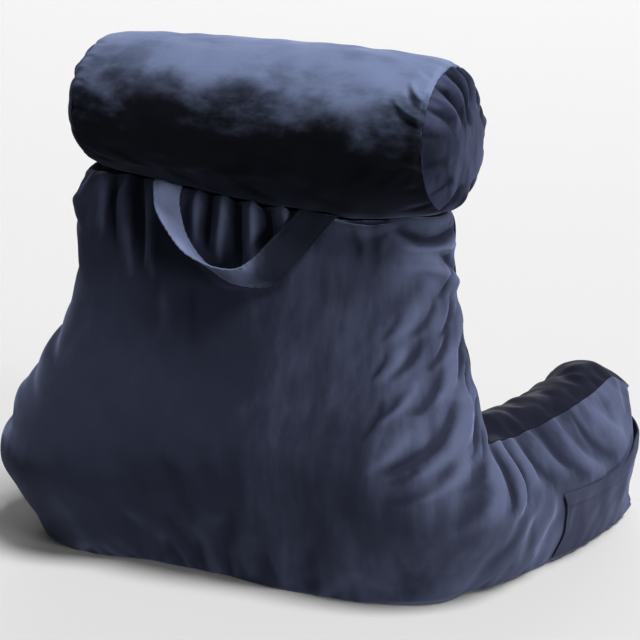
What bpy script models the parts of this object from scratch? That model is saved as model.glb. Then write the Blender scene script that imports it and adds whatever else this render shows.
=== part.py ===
"""Reading pillow with arms: a filled back rest that runs round into two side arms, a filled neck
roll lying along its top, a flat carry handle on the back and a patch pocket on one arm.
Metres. +Z is up, the open front and the arms point to -Y, the back panel faces +Y."""

import math

import bmesh
import bpy
import numpy as np

# ---- sizes -------------------------------------------------------------------------------------

# The back rest and the arms follow one line over the floor: "run" is the distance along it from
# the middle of the back (positive towards +X), and each row turns it forwards by so many degrees.
TURNS = ((0.000, 0.250, 6.0), (0.203, 0.280, 59.0), (0.250, 0.640, 28.5))  # from, to, degrees
ARM_END = 0.668  # run of the arm's front end

SEAM_TOP = 0.496  # height of the back rest's top seams at its corners
JOIN_RUN, JOIN_HEIGHT = 0.290, 0.196  # where the back rest's side seam meets the arm's top seam
TOWER = (  # share of the way up the back rest, half its width
    (0.0, 0.290), (0.15, 0.292), (0.3, 0.2915), (0.65, 0.286), (0.9, 0.280), (1.0, 0.275),
)  # fmt: skip
# Share of the way along the arm, height of its top seam.
ARM_TOP = ((0.0, 0.196), (0.15, 0.188), (0.3, 0.187), (0.55, 0.194), (0.85, 0.204), (1.0, 0.203))
ARM_CORNER, TOWER_CORNER = 0.075, 0.018  # radius of the outline at the arm's front and tower's top

BACK_HALF, ARM_HALF = 0.037, 0.039  # half the boxing strip's width on the back rest and the arms
CROWN, CROWN_REACH = 0.046, 0.107  # how far a panel swells out, and how far in from its seam
FOOT_REACH = 0.130  # height over which the panels draw in to the bottom seam
FOOT_OUT = (  # run, how far the bottom seam lies outside the seams above it
    (-0.668, 0.026), (-0.600, 0.025), (-0.540, 0.016), (-0.420, 0.003), (-0.300, 0.002),
    (-0.270, -0.006), (-0.240, 0.011), (-0.180, 0.028), (-0.060, 0.026), (0.000, 0.014),
    (0.120, 0.012), (0.180, 0.026), (0.240, 0.026), (0.300, 0.014), (0.400, -0.010),
    (0.668, -0.010),
)  # fmt: skip
# Extra fill low in the back, fullest at its corners: run, height, half width, half height, depth.
FILL = (
    (0.237, 0.163, 0.132, 0.118, 0.078),
    (0.000, 0.168, 0.130, 0.112, 0.046),
    (-0.237, 0.168, 0.132, 0.112, 0.050),
)
INNER_CROWN, INNER_PINCH = 0.034, 0.80  # front face, and how much of it the inside corner takes away
LEAN, SAG = 0.043, 0.014  # the top leans forwards, the middle sags forwards
SIDE_LEAN = 0.006  # and the top stands this far towards +X
STRIP_CROWN = 0.018

ROLL_AT = (-0.0245, -0.0235, 0.5730)
ROLL_TILT = 2.2  # degrees, lower at the -X end
ROLL_OVAL = 0.965
# Its underside along the row's X: place, how much lower it hangs there than a round roll.
ROLL_SAG = (
    (-0.29, -0.003), (-0.21, -0.001), (-0.14, 0.008), (-0.05, 0.004), (0.05, -0.003),
    (0.14, -0.011), (0.24, -0.013),
)  # fmt: skip
ROLL_SEAM = 0.236  # distance of the end seams from the middle
# Distance from the middle, radius: the end cap, its seam, then the side.
ROLL_PROFILE = (
    (0.2640, 0.0000), (0.2620, 0.0380), (0.2520, 0.0720), (0.2360, 0.0895),
    (0.2220, 0.0955), (0.1750, 0.1000), (0.0900, 0.1015), (0.0000, 0.1015),
)  # fmt: skip
ROLL_CLEAR = 0.0020  # the top of the back rest dips this far clear of the roll

# Soft folds of the outer panel: run and height of both ends, half width, rise (a trough below 0).
FOLDS = (
    (0.165, 0.480, 0.155, 0.410, 0.016, 0.005),  # gathers under the roll
    (0.120, 0.470, 0.110, 0.400, 0.014, -0.004),
    (0.012, 0.470, -0.006, 0.410, 0.014, -0.005),
    (-0.030, 0.470, -0.052, 0.420, 0.014, -0.005),
    (-0.195, 0.468, -0.258, 0.456, 0.013, 0.007),  # crumple at the top corner
    (-0.225, 0.440, -0.262, 0.408, 0.014, 0.005),
    (-0.262, 0.380, -0.225, 0.315, 0.016, 0.005),  # pull lines down the side of the back
    (-0.276, 0.320, -0.225, 0.255, 0.016, 0.005),
    (-0.278, 0.262, -0.232, 0.205, 0.016, 0.005),
    (-0.306, 0.190, -0.284, 0.140, 0.014, -0.008),  # creases where back and arm meet
    (-0.334, 0.182, -0.314, 0.138, 0.014, -0.007),
    (-0.274, 0.185, -0.264, 0.120, 0.014, 0.006),
    (-0.385, 0.182, -0.408, 0.140, 0.015, -0.005),
    (-0.485, 0.190, -0.515, 0.130, 0.015, -0.005),
    (0.252, 0.300, 0.225, 0.245, 0.015, 0.004),
    (0.258, 0.215, 0.222, 0.170, 0.015, -0.006),
)

# The handle, from end to end: run and height of its middle, its distance off the back, and the
# turn of its face in degrees: 90 stands edge-on to the back, 0 and 180 lie flat, one face or the
# other outwards. Its +X end starts up in the crack under the neck roll.
HANDLE = (
    (0.101, 0.508, 0.004, 172), (0.096, 0.493, 0.022, 118), (0.088, 0.471, 0.024, 102),
    (0.072, 0.448, 0.025, 89), (0.051, 0.426, 0.026, 81), (0.028, 0.409, 0.026, 71),
    (0.002, 0.397, 0.025, 60), (-0.029, 0.393, 0.020, 48), (-0.053, 0.402, 0.013, 26),
    (-0.076, 0.427, 0.009, 11), (-0.099, 0.456, 0.006, 4), (-0.120, 0.486, 0.0032, 0),
)  # fmt: skip
HANDLE_WIDTH, HANDLE_THICK = 0.046, 0.003

# The pocket on the -X arm: its rear edge (height, run), its mouth (run, height), and its cloth.
POCKET_REAR = ((0.008, 0.414), (0.050, 0.412), (0.080, 0.403), (0.110, 0.391))
POCKET_MOUTH = ((0.391, 0.110), (0.463, 0.105), (0.528, 0.112), (0.583, 0.131), (0.668, 0.147))
POCKET_FOOT, POCKET_THICK, POCKET_GAP, POCKET_LOOSE = 0.008, 0.002, 0.0010, 0.003

CENTRE = (-0.00418, -0.16120)  # the middle of the whole footprint, which becomes the origin


# ---- helpers -----------------------------------------------------------------------------------


def smooth(share):
    share = np.clip(share, 0.0, 1.0)
    return share * share * (3.0 - 2.0 * share)


def spread(stops, counts):
    """Points from stop to stop, each stretch cut into its count of equal steps."""
    parts = [np.linspace(a, b, n, endpoint=False) for a, b, n in zip(stops, stops[1:], counts)]
    return np.concatenate(parts + [[stops[-1]]])


def curve(table, share):
    keys, values = zip(*table)
    return np.interp(share, keys, values)


def heading_at(run):
    return np.radians(sum(turn * smooth((run - a) / (b - a)) for a, b, turn in TURNS))


STEPS = np.linspace(0.0, 0.75, 1501)
LINE_X = np.concatenate([[0.0], np.cumsum(np.cos(heading_at(STEPS[:-1])) * np.diff(STEPS))])
LINE_Y = np.concatenate([[0.0], -np.cumsum(np.sin(heading_at(STEPS[:-1])) * np.diff(STEPS))])


def place(run, height, out):
    """The point at this run and height, this far out from the middle line."""
    side, far = np.sign(run), np.abs(run)
    angle = heading_at(far)
    share = height / SEAM_TOP
    lean = (LEAN * share + SAG * 4.0 * share * (1.0 - share)) * np.clip(
        1.0 - (far - 0.27) / 0.28, 0.0, 1.0
    )
    out = out - lean
    x = side * (np.interp(far, STEPS, LINE_X) + np.sin(angle) * out) + SIDE_LEAN * share**3
    return np.stack([x, np.interp(far, STEPS, LINE_Y) + np.cos(angle) * out, height], axis=-1)


def half_thickness(run):
    return BACK_HALF + (ARM_HALF - BACK_HALF) * smooth((np.abs(run) - 0.21) / 0.11)


def arm_top(run):
    return curve(ARM_TOP, (np.abs(run) - JOIN_RUN) / (ARM_END - JOIN_RUN))


def tower_half(height):
    return curve(TOWER, (height - JOIN_HEIGHT) / (SEAM_TOP - JOIN_HEIGHT))


def swell(run, height):
    """0 at the seams and 1 well inside them, rounded like a filled cushion."""
    far = np.abs(run)
    above = (far <= JOIN_RUN) & (height > JOIN_HEIGHT)
    below = (far <= JOIN_RUN) & (height <= JOIN_HEIGHT)
    to_top = np.where(far <= JOIN_RUN, SEAM_TOP, arm_top(run)) - height
    to_side = np.where(above, tower_half(height) - far, 1.0)
    to_join = np.where(below, np.hypot(far - JOIN_RUN, height - JOIN_HEIGHT), 1.0)
    to_seam = np.minimum.reduce([to_top, to_side, to_join, ARM_END - far])
    return 1.0 - (1.0 - np.clip(to_seam / CROWN_REACH, 0.0, 1.0)) ** 2


def foot(height):
    return 1.0 - (1.0 - np.clip(height / FOOT_REACH, 0.0, 1.0)) ** 2


def extra_fill(run, height):
    total = np.zeros_like(run)
    for middle, level, wide, tall, deep in FILL:
        total += deep * np.exp(-(((run - middle) / wide) ** 2) - ((height - level) / tall) ** 2)
    return total


def folds(run, height):
    total = np.zeros_like(run)
    for run0, high0, run1, high1, width, rise in FOLDS:
        along = np.array([run1 - run0, high1 - high0])
        share = ((run - run0) * along[0] + (height - high0) * along[1]) / (along @ along)
        near = np.clip(share, 0.0, 1.0)
        gap = np.hypot(run - run0 - near * along[0], height - high0 - near * along[1])
        fade = np.sqrt(np.sin(math.pi * np.clip(share, 0.04, 0.96)))
        total += rise * np.exp(-((gap / width) ** 2)) * fade
    return total


def outer_panel(run, height, lift=0.0):
    """The back and the arms' outer sides, or a layer this far off them."""
    half, low = half_thickness(run), foot(height)
    out = (half + CROWN * swell(run, height)) * low
    out = out + (1.0 - low) * (half + curve(FOOT_OUT, run))
    return place(run, height, out + extra_fill(run, height) + folds(run, height) + lift)


def inner_panel(run, height):
    half, low = half_thickness(run), foot(height)
    pinch = 1.0 - INNER_PINCH * np.exp(-(((np.abs(run) - 0.235) / 0.065) ** 2))
    out = (half + INNER_CROWN * pinch * swell(run, height)) * low + (1.0 - low) * half
    return place(run, height, -out)


def roll_sag(x):
    return curve(ROLL_SAG, x)


def roll_underside(x, y):
    """Height of the neck roll's lower side over this spot of the floor, far up beyond its edge."""
    stations, radii = zip(*ROLL_PROFILE[::-1])
    radius = np.interp(np.abs(x - ROLL_AT[0]), stations, radii, right=0.0)
    across = np.clip(np.abs(y - ROLL_AT[1]) / np.maximum(radius, 1e-6), 0.0, 1.0)
    depth = radius * ROLL_OVAL * np.sqrt(1.0 - across * across) + roll_sag(x)
    centre = ROLL_AT[2] + (x - ROLL_AT[0]) * math.tan(math.radians(ROLL_TILT))
    return np.where(across < 1.0, centre - depth, 1.0)


def duck_under_roll(points, clear=ROLL_CLEAR):
    high = roll_underside(points[..., 0], points[..., 1]) - clear
    points[..., 2] = np.where(points[..., 2] > 0.40, np.minimum(points[..., 2], high), points[..., 2])
    return points


# ---- building with meshes ----------------------------------------------------------------------


def clear_scene():
    for obj in list(bpy.data.objects):
        bpy.data.objects.remove(obj, do_unlink=True)


def collection_named(name):
    found = bpy.data.collections.new(name)
    bpy.context.scene.collection.children.link(found)
    return found


def material(name, colour, roughness):
    made = bpy.data.materials.new(name)
    made.use_nodes = True
    shader = made.node_tree.nodes["Principled BSDF"]
    shader.inputs["Base Color"].default_value = (*colour, 1.0)
    shader.inputs["Roughness"].default_value = roughness
    return made


def add_grid(bm, points, panel, flip=False):
    """Faces of one panel over a grid of points; panel is kept as each face's material number."""
    rows, cols = points.shape[:2]
    verts = [[bm.verts.new(points[i, j]) for j in range(cols)] for i in range(rows)]
    for i in range(rows - 1):
        for j in range(cols - 1):
            ring = [verts[i][j], verts[i + 1][j], verts[i + 1][j + 1], verts[i][j + 1]]
            bm.faces.new(ring[::-1] if flip else ring).material_index = panel


def weld_and_crease(bm, reach=2e-5):
    """Joins the panels along their shared edges and keeps each such seam crisp."""
    bmesh.ops.remove_doubles(bm, verts=bm.verts, dist=reach)
    bmesh.ops.recalc_face_normals(bm, faces=bm.faces)
    crease = bm.edges.layers.float.new("crease_edge")
    for edge in bm.edges:
        panels = {face.material_index for face in edge.link_faces}
        edge[crease] = 1.0 if len(panels) > 1 else 0.0
    for face in bm.faces:
        face.material_index = 0
        face.smooth = True


def object_from(bm, name, made_of, home, levels=1):
    mesh = bpy.data.meshes.new(name)
    bm.to_mesh(mesh)
    bm.free()
    mesh.materials.append(made_of)
    obj = bpy.data.objects.new(name, mesh)
    home.objects.link(obj)
    obj.location = (-CENTRE[0], -CENTRE[1], 0.0)
    if levels:
        fine = obj.modifiers.new("Subdivision", "SUBSURF")
        fine.levels = fine.render_levels = levels
    return obj


# ---- the back rest and its arms ----------------------------------------------------------------


def round_corner(far, high, end, top, radius):
    """Bends a square corner of the grid into a quarter circle."""
    a = np.clip((far - end + radius) / radius, 0.0, 1.0)
    b = np.clip((high - top + radius) / radius, 0.0, 1.0)
    far = far - radius * a * (1.0 - np.sqrt(1.0 - 0.5 * b * b))
    high = high - radius * b * (1.0 - np.sqrt(1.0 - 0.5 * a * a))
    return np.stack([far, high], axis=-1)


def outline_grids():
    """Run and height over the lower band and over the tower, for one half of the body."""
    runs = spread((0.0, 0.19, JOIN_RUN, ARM_END - ARM_CORNER, ARM_END), (5, 5, 7, 4))
    inside = 10  # steps of the above that lie under the tower
    far, up = np.meshgrid(runs, spread((0.0, 0.35, 1.0), (3, 4)), indexing="ij")
    top = np.where(runs <= JOIN_RUN + 1e-9, JOIN_HEIGHT, arm_top(runs))[:, None]
    lower = round_corner(far, top * up, ARM_END, top, ARM_CORNER)
    across, up = np.meshgrid(runs[: inside + 1] / JOIN_RUN, np.linspace(0.0, 1.0, 11), indexing="ij")
    high = JOIN_HEIGHT + (SEAM_TOP - JOIN_HEIGHT) * up
    wide = tower_half(high)
    tower = round_corner(across * wide, high, wide, SEAM_TOP, TOWER_CORNER)
    return lower, tower, inside


def mirrored_outline(lower, tower, inside):
    """Run and height once round the top edge, from the foot of one arm's end to the other's."""
    half = np.concatenate(
        [lower[-1, :-1], lower[:inside:-1, -1], tower[-1, :-1], tower[:0:-1, -1]]
    )
    centre = tower[:1, -1]
    other = half[::-1] * np.array([-1.0, 1.0])
    return np.concatenate([half, centre, other])


def body_panels():
    lower, tower, inside = outline_grids()
    panels = []
    for side in (1.0, -1.0):
        for grid in (lower, tower):
            run, height = grid[..., 0] * side, grid[..., 1]
            panels.append((duck_under_roll(outer_panel(run, height)), 0))
            panels.append((duck_under_roll(inner_panel(run, height)), 1))
    edge = mirrored_outline(lower, tower, inside)
    outer, inner = (
        duck_under_roll(panel(edge[:, 0], edge[:, 1])) for panel in (outer_panel, inner_panel)
    )
    along = np.gradient(0.5 * (outer + inner), axis=0)
    away = np.cross(outer - inner, along)
    away /= np.linalg.norm(away, axis=1, keepdims=True)
    share = np.linspace(0.0, 1.0, 4)[None, :, None]
    strip = inner[:, None] * (1.0 - share) + outer[:, None] * share
    strip = strip + away[:, None] * STRIP_CROWN * 4.0 * share * (1.0 - share)
    strip[[0, -1], :, 2] = 0.0
    strip[:, 1:-1] = duck_under_roll(strip[:, 1:-1])
    panels.append((strip, 2))
    runs = np.concatenate([lower[::-1, 0, 0], -lower[1:, 0, 0]])
    outer, inner = (panel(runs, runs * 0.0) for panel in (outer_panel, inner_panel))
    base = inner[:, None] * (1.0 - share) + outer[:, None] * share
    base[0], base[-1] = strip[0], strip[-1]
    panels.append((base, 3))
    return panels


def build_body(home, cloth):
    bm = bmesh.new()
    for points, panel in body_panels():
        add_grid(bm, points, panel)
    weld_and_crease(bm)
    return object_from(bm, "cushion_body", cloth, home)


# ---- the neck roll -----------------------------------------------------------------------------


def build_roll(home, cloth, sides=24):
    """The profile spun round the roll's own line, then pressed oval, sagged and tilted."""
    half = np.array(ROLL_PROFILE)
    station = np.concatenate([half[:, 0], -half[-2::-1, 0]])
    radius = np.concatenate([half[:, 1], half[-2::-1, 1]])
    bm = bmesh.new()
    verts = [bm.verts.new((x, r, 0.0)) for x, r in zip(station, radius)]
    edges = [bm.edges.new(pair) for pair in zip(verts, verts[1:])]
    bmesh.ops.spin(
        bm, geom=verts + edges, cent=(0, 0, 0), axis=(1, 0, 0), angle=2.0 * math.pi,
        steps=sides, use_merge=True,
    )  # fmt: skip
    for face in bm.faces:
        middle = face.calc_center_median().x
        face.material_index = 0 if middle > ROLL_SEAM else 2 if middle < -ROLL_SEAM else 1
    weld_and_crease(bm)
    for vert in bm.verts:
        x, y, z = vert.co
        low = max(0.0, -z / ROLL_PROFILE[-1][1])
        tilt = x * math.tan(math.radians(ROLL_TILT))
        sag = float(roll_sag(ROLL_AT[0] + x)) * low
        vert.co = (ROLL_AT[0] + x, ROLL_AT[1] + y, ROLL_AT[2] + z * ROLL_OVAL + tilt - sag)
    return object_from(bm, "neck_roll", cloth, home)


# ---- the handle and the pocket -----------------------------------------------------------------


def through(table, share):
    """A smooth curve through the table's rows, all columns at once (Catmull-Rom)."""
    rows = np.array(table, float)
    rows = np.concatenate([2.0 * rows[:1] - rows[1:2], rows, 2.0 * rows[-1:] - rows[-2:-1]])
    spot = share * (len(table) - 1)
    k = np.minimum(spot.astype(int), len(table) - 2)
    t = (spot - k)[:, None]
    a, b, c, d = rows[k], rows[k + 1], rows[k + 2], rows[k + 3]
    bend = (2.0 * a - 5.0 * b + 4.0 * c - d) * t**2 + (3.0 * (b - c) + d - a) * t**3
    return 0.5 * (2.0 * b + (c - a) * t + bend)


def handle_grid(along=24):
    """The strap's middle surface, which makes half a turn on its way round the loop."""
    run, height, lift, turn = through(HANDLE, np.linspace(0.0, 1.0, along + 1)).T
    step = np.stack([np.gradient(run), np.gradient(height)], axis=-1)
    step /= np.linalg.norm(step, axis=1, keepdims=True)
    turn = np.radians(turn)[:, None]
    across = np.array([-1.0, 0.0, 1.0]) * 0.5 * (HANDLE_WIDTH - HANDLE_THICK)
    flat, stand = across * np.cos(turn), across * np.sin(turn)
    beside, above = run[:, None] + step[:, 1:] * flat, height[:, None] - step[:, :1] * flat
    return duck_under_roll(outer_panel(beside, above, lift[:, None] + stand), 0.0024)


def pocket_grid(along=13, up=5):
    """The pocket's inner face: it follows the arm and stands a little loose along its mouth."""
    u, v = np.meshgrid(np.linspace(0.0, 1.0, along + 1), np.linspace(0.0, 1.0, up + 1), indexing="ij")
    run = 0.0
    height = POCKET_FOOT + v * (POCKET_MOUTH[0][1] - POCKET_FOOT)
    for _ in range(3):  # the rear edge depends on the height and the mouth on the run
        rear = curve(POCKET_REAR, height)
        run = rear + (ARM_END - 0.002 - rear) * u
        height = POCKET_FOOT + v * (curve(POCKET_MOUTH, run) - POCKET_FOOT)
    loose = POCKET_GAP + POCKET_LOOSE * np.sin(math.pi * u) * v**3
    return outer_panel(-run, height, loose)


def build_sheet(name, points, thick, side, cloth, home):
    """An open surface given its thickness by Solidify and rounded by Subdivision Surface."""
    bm = bmesh.new()
    add_grid(bm, points, 0)
    for face in bm.faces:
        face.smooth = True
    sheet = object_from(bm, name, cloth, home, levels=0)
    shell = sheet.modifiers.new("Solidify", "SOLIDIFY")
    shell.thickness, shell.offset = thick, side
    shell.use_even_offset = True
    fine = sheet.modifiers.new("Subdivision", "SUBSURF")
    fine.levels = fine.render_levels = 1
    return sheet


def main():
    clear_scene()
    home = collection_named("reading_pillow_with_arms")
    build_body(home, material("navy_velvet", (0.12, 0.135, 0.20), 0.85))
    build_roll(home, material("navy_velvet_roll", (0.13, 0.145, 0.21), 0.85))
    strap = material("navy_velvet_strap", (0.15, 0.165, 0.23), 0.80)
    build_sheet("carry_handle", handle_grid(), HANDLE_THICK, 0.0, strap, home)
    pouch = material("navy_velvet_pocket", (0.14, 0.15, 0.20), 0.80)
    build_sheet("arm_pocket", pocket_grid(), POCKET_THICK, 1.0, pouch, home)


main()
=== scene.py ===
# %% [markdown]
# # Reading pillow with arms
#
# A big filled cushion for sitting up in bed. One sewn cover goes round the back rest and on
# over both arms, a round neck roll lies along its top, a flat strap hangs behind it as a
# handle, and one arm has a patch pocket. Everything is navy velvet.
#
# The shape is known from the packed frame, so this lesson dresses it: each piece of the frame
# is replaced by a soft one, worked out with numpy as a surface, and the cushion and the roll
# are then puffed up as cloth.

# %% The frame
import math

import bmesh
import bpy
import numpy as np
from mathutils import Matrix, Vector


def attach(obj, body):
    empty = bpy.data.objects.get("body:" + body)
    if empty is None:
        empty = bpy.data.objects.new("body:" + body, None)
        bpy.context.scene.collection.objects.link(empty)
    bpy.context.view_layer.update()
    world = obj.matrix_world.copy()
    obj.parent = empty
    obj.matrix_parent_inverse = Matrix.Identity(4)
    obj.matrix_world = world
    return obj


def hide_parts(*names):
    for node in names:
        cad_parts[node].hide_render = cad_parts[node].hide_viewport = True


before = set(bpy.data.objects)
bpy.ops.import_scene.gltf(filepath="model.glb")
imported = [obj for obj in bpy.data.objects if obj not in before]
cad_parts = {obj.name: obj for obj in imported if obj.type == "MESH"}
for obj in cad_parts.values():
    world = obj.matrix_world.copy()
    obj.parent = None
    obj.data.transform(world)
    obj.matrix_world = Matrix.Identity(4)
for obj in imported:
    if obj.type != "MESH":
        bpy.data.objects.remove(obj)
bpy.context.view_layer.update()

# %% [markdown]
# ## Small tools
#
# A surface here is a grid of points, worked out all at once. What it needs are a soft step
# from 0 to 1, a smooth curve through a short table, and some unevenness. Real filling makes
# slow lumps, and a sum of plane waves in seeded directions gives those at any size without a
# texture, and gives the same ones in each run.

# %% Steps, tables and lumps
TINY = 1e-9  # keeps a comparison or a division safe
SEAM_CLEAR = 0.004  # ripples fade out this near a seam
WAVE_RANGE = (0.6, 1.3)  # how many times each wave repeats over the size


def smooth(share):
    """3 s^2 - 2 s^3: leaves 0 and reaches 1 with no slope."""
    share = np.clip(share, 0.0, 1.0)
    return share * share * (3.0 - 2.0 * share)


def curve(table, spot):
    """Straight steps between the rows (key, value) of a table."""
    keys, values = zip(*table)
    return np.interp(spot, keys, values)


def through(table, share):
    """A Catmull-Rom curve through a table's rows, all columns at once: share 0 is the first."""
    rows = np.array(table, float)
    rows = np.concatenate([2.0 * rows[:1] - rows[1:2], rows, 2.0 * rows[-1:] - rows[-2:-1]])
    spot = np.asarray(share) * (len(table) - 1)
    k = np.minimum(spot.astype(int), len(table) - 2)
    t = (spot - k)[..., None]
    a, b, c, d = rows[k], rows[k + 1], rows[k + 2], rows[k + 3]
    bend = (2.0 * a - 5.0 * b + 4.0 * c - d) * t**2 + (3.0 * (b - c) + d - a) * t**3
    return 0.5 * (2.0 * b + (c - a) * t + bend)


def lumps(points, size, seed, waves=28):
    """Unevenness of about this size, from -1 to 1: a sum of sine waves in seeded directions."""
    dice = np.random.default_rng(seed)
    points = np.asarray(points, float)
    way = dice.normal(size=(waves, points.shape[-1]))
    length = np.linalg.norm(way, axis=1, keepdims=True)
    way *= 2.0 * math.pi / size * dice.uniform(*WAVE_RANGE, (waves, 1)) / length
    start = dice.uniform(0.0, 2.0 * math.pi, waves)
    return np.sin(points @ way.T + start).sum(axis=-1) * math.sqrt(2.0 / waves) * 0.5


def bell(distance, width):
    """exp(-(d/w)^2): 1 in the middle and nearly 0 past two widths."""
    return np.exp(-((distance / width) ** 2))


def away_from(edge):
    """1 - exp(-d/4 mm): 0 on a seam itself, so that no ripple opens it, and 1 well away."""
    return 1.0 - np.exp(-edge / SEAM_CLEAR)


def length_along(points):
    """How far each point lies from the first, added up from step to step."""
    steps = np.linalg.norm(np.diff(points, axis=0), axis=1)
    return np.concatenate([[0.0], np.cumsum(steps)])


print("lumps at three points", np.round(lumps(np.eye(3) * 0.1, 0.1, 1), 2))

# %% [markdown]
# ## The line that the cushion follows
#
# Seen from above, the cushion is a thick band: straight behind the sitter, then round two
# corners into the arms. A maker cuts its outer panel as one flat piece of cloth, so the two
# measures on that cloth are used all through this lesson: "run", how far along the band from
# the middle of the back, and "height". The line's heading is a sum of three soft turns, and
# adding up its cosine and sine gives the places.

# %% Plan line
TURNS = ((0.000, 0.250, 6.0), (0.203, 0.280, 59.0), (0.250, 0.640, 28.5))  # from, to, degrees
ARM_END = 0.668
SEAM_TOP = 0.496
JOIN_RUN, JOIN_HEIGHT = 0.290, 0.196
ORIGIN = (0.00418, 0.16120)  # where the middle of the back lies in the frame
LEAN, SAG = 0.043, 0.014  # how far the top of the back leans in, and its middle hollows
LEAN_FULL, LEAN_FADE = 0.27, 0.28  # the lean holds up to this run, then fades over this much more
SIDE_LEAN = 0.006  # the top also leans towards +X


def heading_at(run):
    """The line's heading in radians: the sum of its turns, each eased in over its stretch."""
    return np.radians(sum(turn * smooth((run - a) / (b - a)) for a, b, turn in TURNS))


STEPS = np.linspace(0.0, 0.75, 1501)
LINE_X = np.concatenate([[0.0], np.cumsum(np.cos(heading_at(STEPS[:-1])) * np.diff(STEPS))])
LINE_Y = np.concatenate([[0.0], -np.cumsum(np.sin(heading_at(STEPS[:-1])) * np.diff(STEPS))])


def place(run, height, out):
    """The point at this run and height, this far out from the middle line, square to it."""
    side, far = np.sign(run), np.abs(run)
    angle = heading_at(far)
    share = height / SEAM_TOP
    leaning = np.clip(1.0 - (far - LEAN_FULL) / LEAN_FADE, 0.0, 1.0)
    out = out - (LEAN * share + SAG * 4.0 * share * (1.0 - share)) * leaning
    x = side * (np.interp(far, STEPS, LINE_X) + np.sin(angle) * out) + ORIGIN[0]
    x = x + SIDE_LEAN * share**3
    y = np.interp(far, STEPS, LINE_Y) + np.cos(angle) * out + ORIGIN[1]
    return np.stack([x, y, height + 0.0 * x], axis=-1)


print("arm ends at", np.round(place(np.array([ARM_END]), np.array([0.1]), np.array([0.0])), 3))

# %% [markdown]
# ## How full the cushion is
#
# A filled cover is thin at its seams and crowned between them. The crown is a parabola of the
# distance from the nearest seam, flat beyond a hand's width. Low down, the filling has slumped
# into the corners where back and arm meet, and there the cover bulges most.

# %% Crown and filling
TOWER = (  # share of the way up the back rest, half its width
    (0.0, 0.290), (0.15, 0.292), (0.3, 0.2915), (0.65, 0.286), (0.9, 0.280), (1.0, 0.275),
)
ARM_TOP = ((0.0, 0.196), (0.15, 0.188), (0.3, 0.187), (0.55, 0.194), (0.85, 0.204), (1.0, 0.203))
BACK_HALF, ARM_HALF = 0.037, 0.039
CROWN, CROWN_REACH, FOOT_REACH = 0.046, 0.107, 0.130
FOOT_OUT = (  # run, how far the bottom seam lies outside the seams above it
    (-0.668, 0.026), (-0.600, 0.025), (-0.540, 0.016), (-0.420, 0.003), (-0.300, 0.002),
    (-0.270, -0.006), (-0.240, 0.011), (-0.180, 0.028), (-0.060, 0.026), (0.000, 0.014),
    (0.120, 0.012), (0.180, 0.026), (0.240, 0.026), (0.300, 0.014), (0.400, -0.010),
    (0.668, -0.010),
)
FILL = (  # run, height, half width, half height, depth
    (0.237, 0.163, 0.132, 0.118, 0.078),
    (0.000, 0.168, 0.130, 0.112, 0.046),
    (-0.237, 0.168, 0.132, 0.112, 0.050),
)
INNER_CROWN, INNER_PINCH = 0.034, 0.80
PINCH_AT, PINCH_WIDE = 0.235, 0.065
CORNER_FROM, CORNER_LONG = 0.21, 0.11


def half_thickness(run):
    """Half the thickness between the seams: the back's, eased into the arms' round the corner."""
    return BACK_HALF + (ARM_HALF - BACK_HALF) * smooth((np.abs(run) - CORNER_FROM) / CORNER_LONG)


def arm_top(run):
    """Height of the arm's top seams, from the table of shares along the arm."""
    return curve(ARM_TOP, (np.abs(run) - JOIN_RUN) / (ARM_END - JOIN_RUN))


def tower_half(height):
    """Half the width of the back rest at this height."""
    return curve(TOWER, (height - JOIN_HEIGHT) / (SEAM_TOP - JOIN_HEIGHT))


def from_seam(run, height):
    """Distance to the nearest of the top, side and front seams, and to the inner corner."""
    far = np.abs(run)
    above = (far <= JOIN_RUN) & (height > JOIN_HEIGHT)
    below = (far <= JOIN_RUN) & (height <= JOIN_HEIGHT)
    to_top = np.where(far <= JOIN_RUN, SEAM_TOP, arm_top(run)) - height
    to_side = np.where(above, tower_half(height) - far, 1.0)
    to_join = np.where(below, np.hypot(far - JOIN_RUN, height - JOIN_HEIGHT), 1.0)
    return np.maximum(np.minimum.reduce([to_top, to_side, to_join, ARM_END - far]), 0.0)


def swell(run, height):
    """1 - (1 - d/reach)^2: steep at the seam, level a hand's width in."""
    return 1.0 - (1.0 - np.clip(from_seam(run, height) / CROWN_REACH, 0.0, 1.0)) ** 2


def foot(height):
    """1 - (1 - h/reach)^2: 0 on the floor and 1 above the part that narrows towards it."""
    return 1.0 - (1.0 - np.clip(height / FOOT_REACH, 0.0, 1.0)) ** 2


def extra_fill(run, height):
    """A sum of bells over the cloth, one for each place where the filling has slumped."""
    total = np.zeros_like(run)
    for middle, level, wide, tall, deep in FILL:
        total += deep * bell(run - middle, wide) * bell(height - level, tall)
    return total


print("slumped into the -X hip:", np.round(extra_fill(np.full(1, -0.237), np.full(1, 0.168)), 3))

# %% [markdown]
# ## Folds
#
# Cloth folds where it has more length than the filling needs: gathered cloth hangs in soft
# pipes under the neck roll, the corner where the roll presses is crumpled, and the filled
# arm pulls slanting lines down the side of the back. A simulation makes folds too, but not in
# chosen places, so these are drawn: each is a stroke on the cloth with a bell across it. Its
# two ends fade, and one side is steeper than the other, because a real fold leans over.

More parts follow.
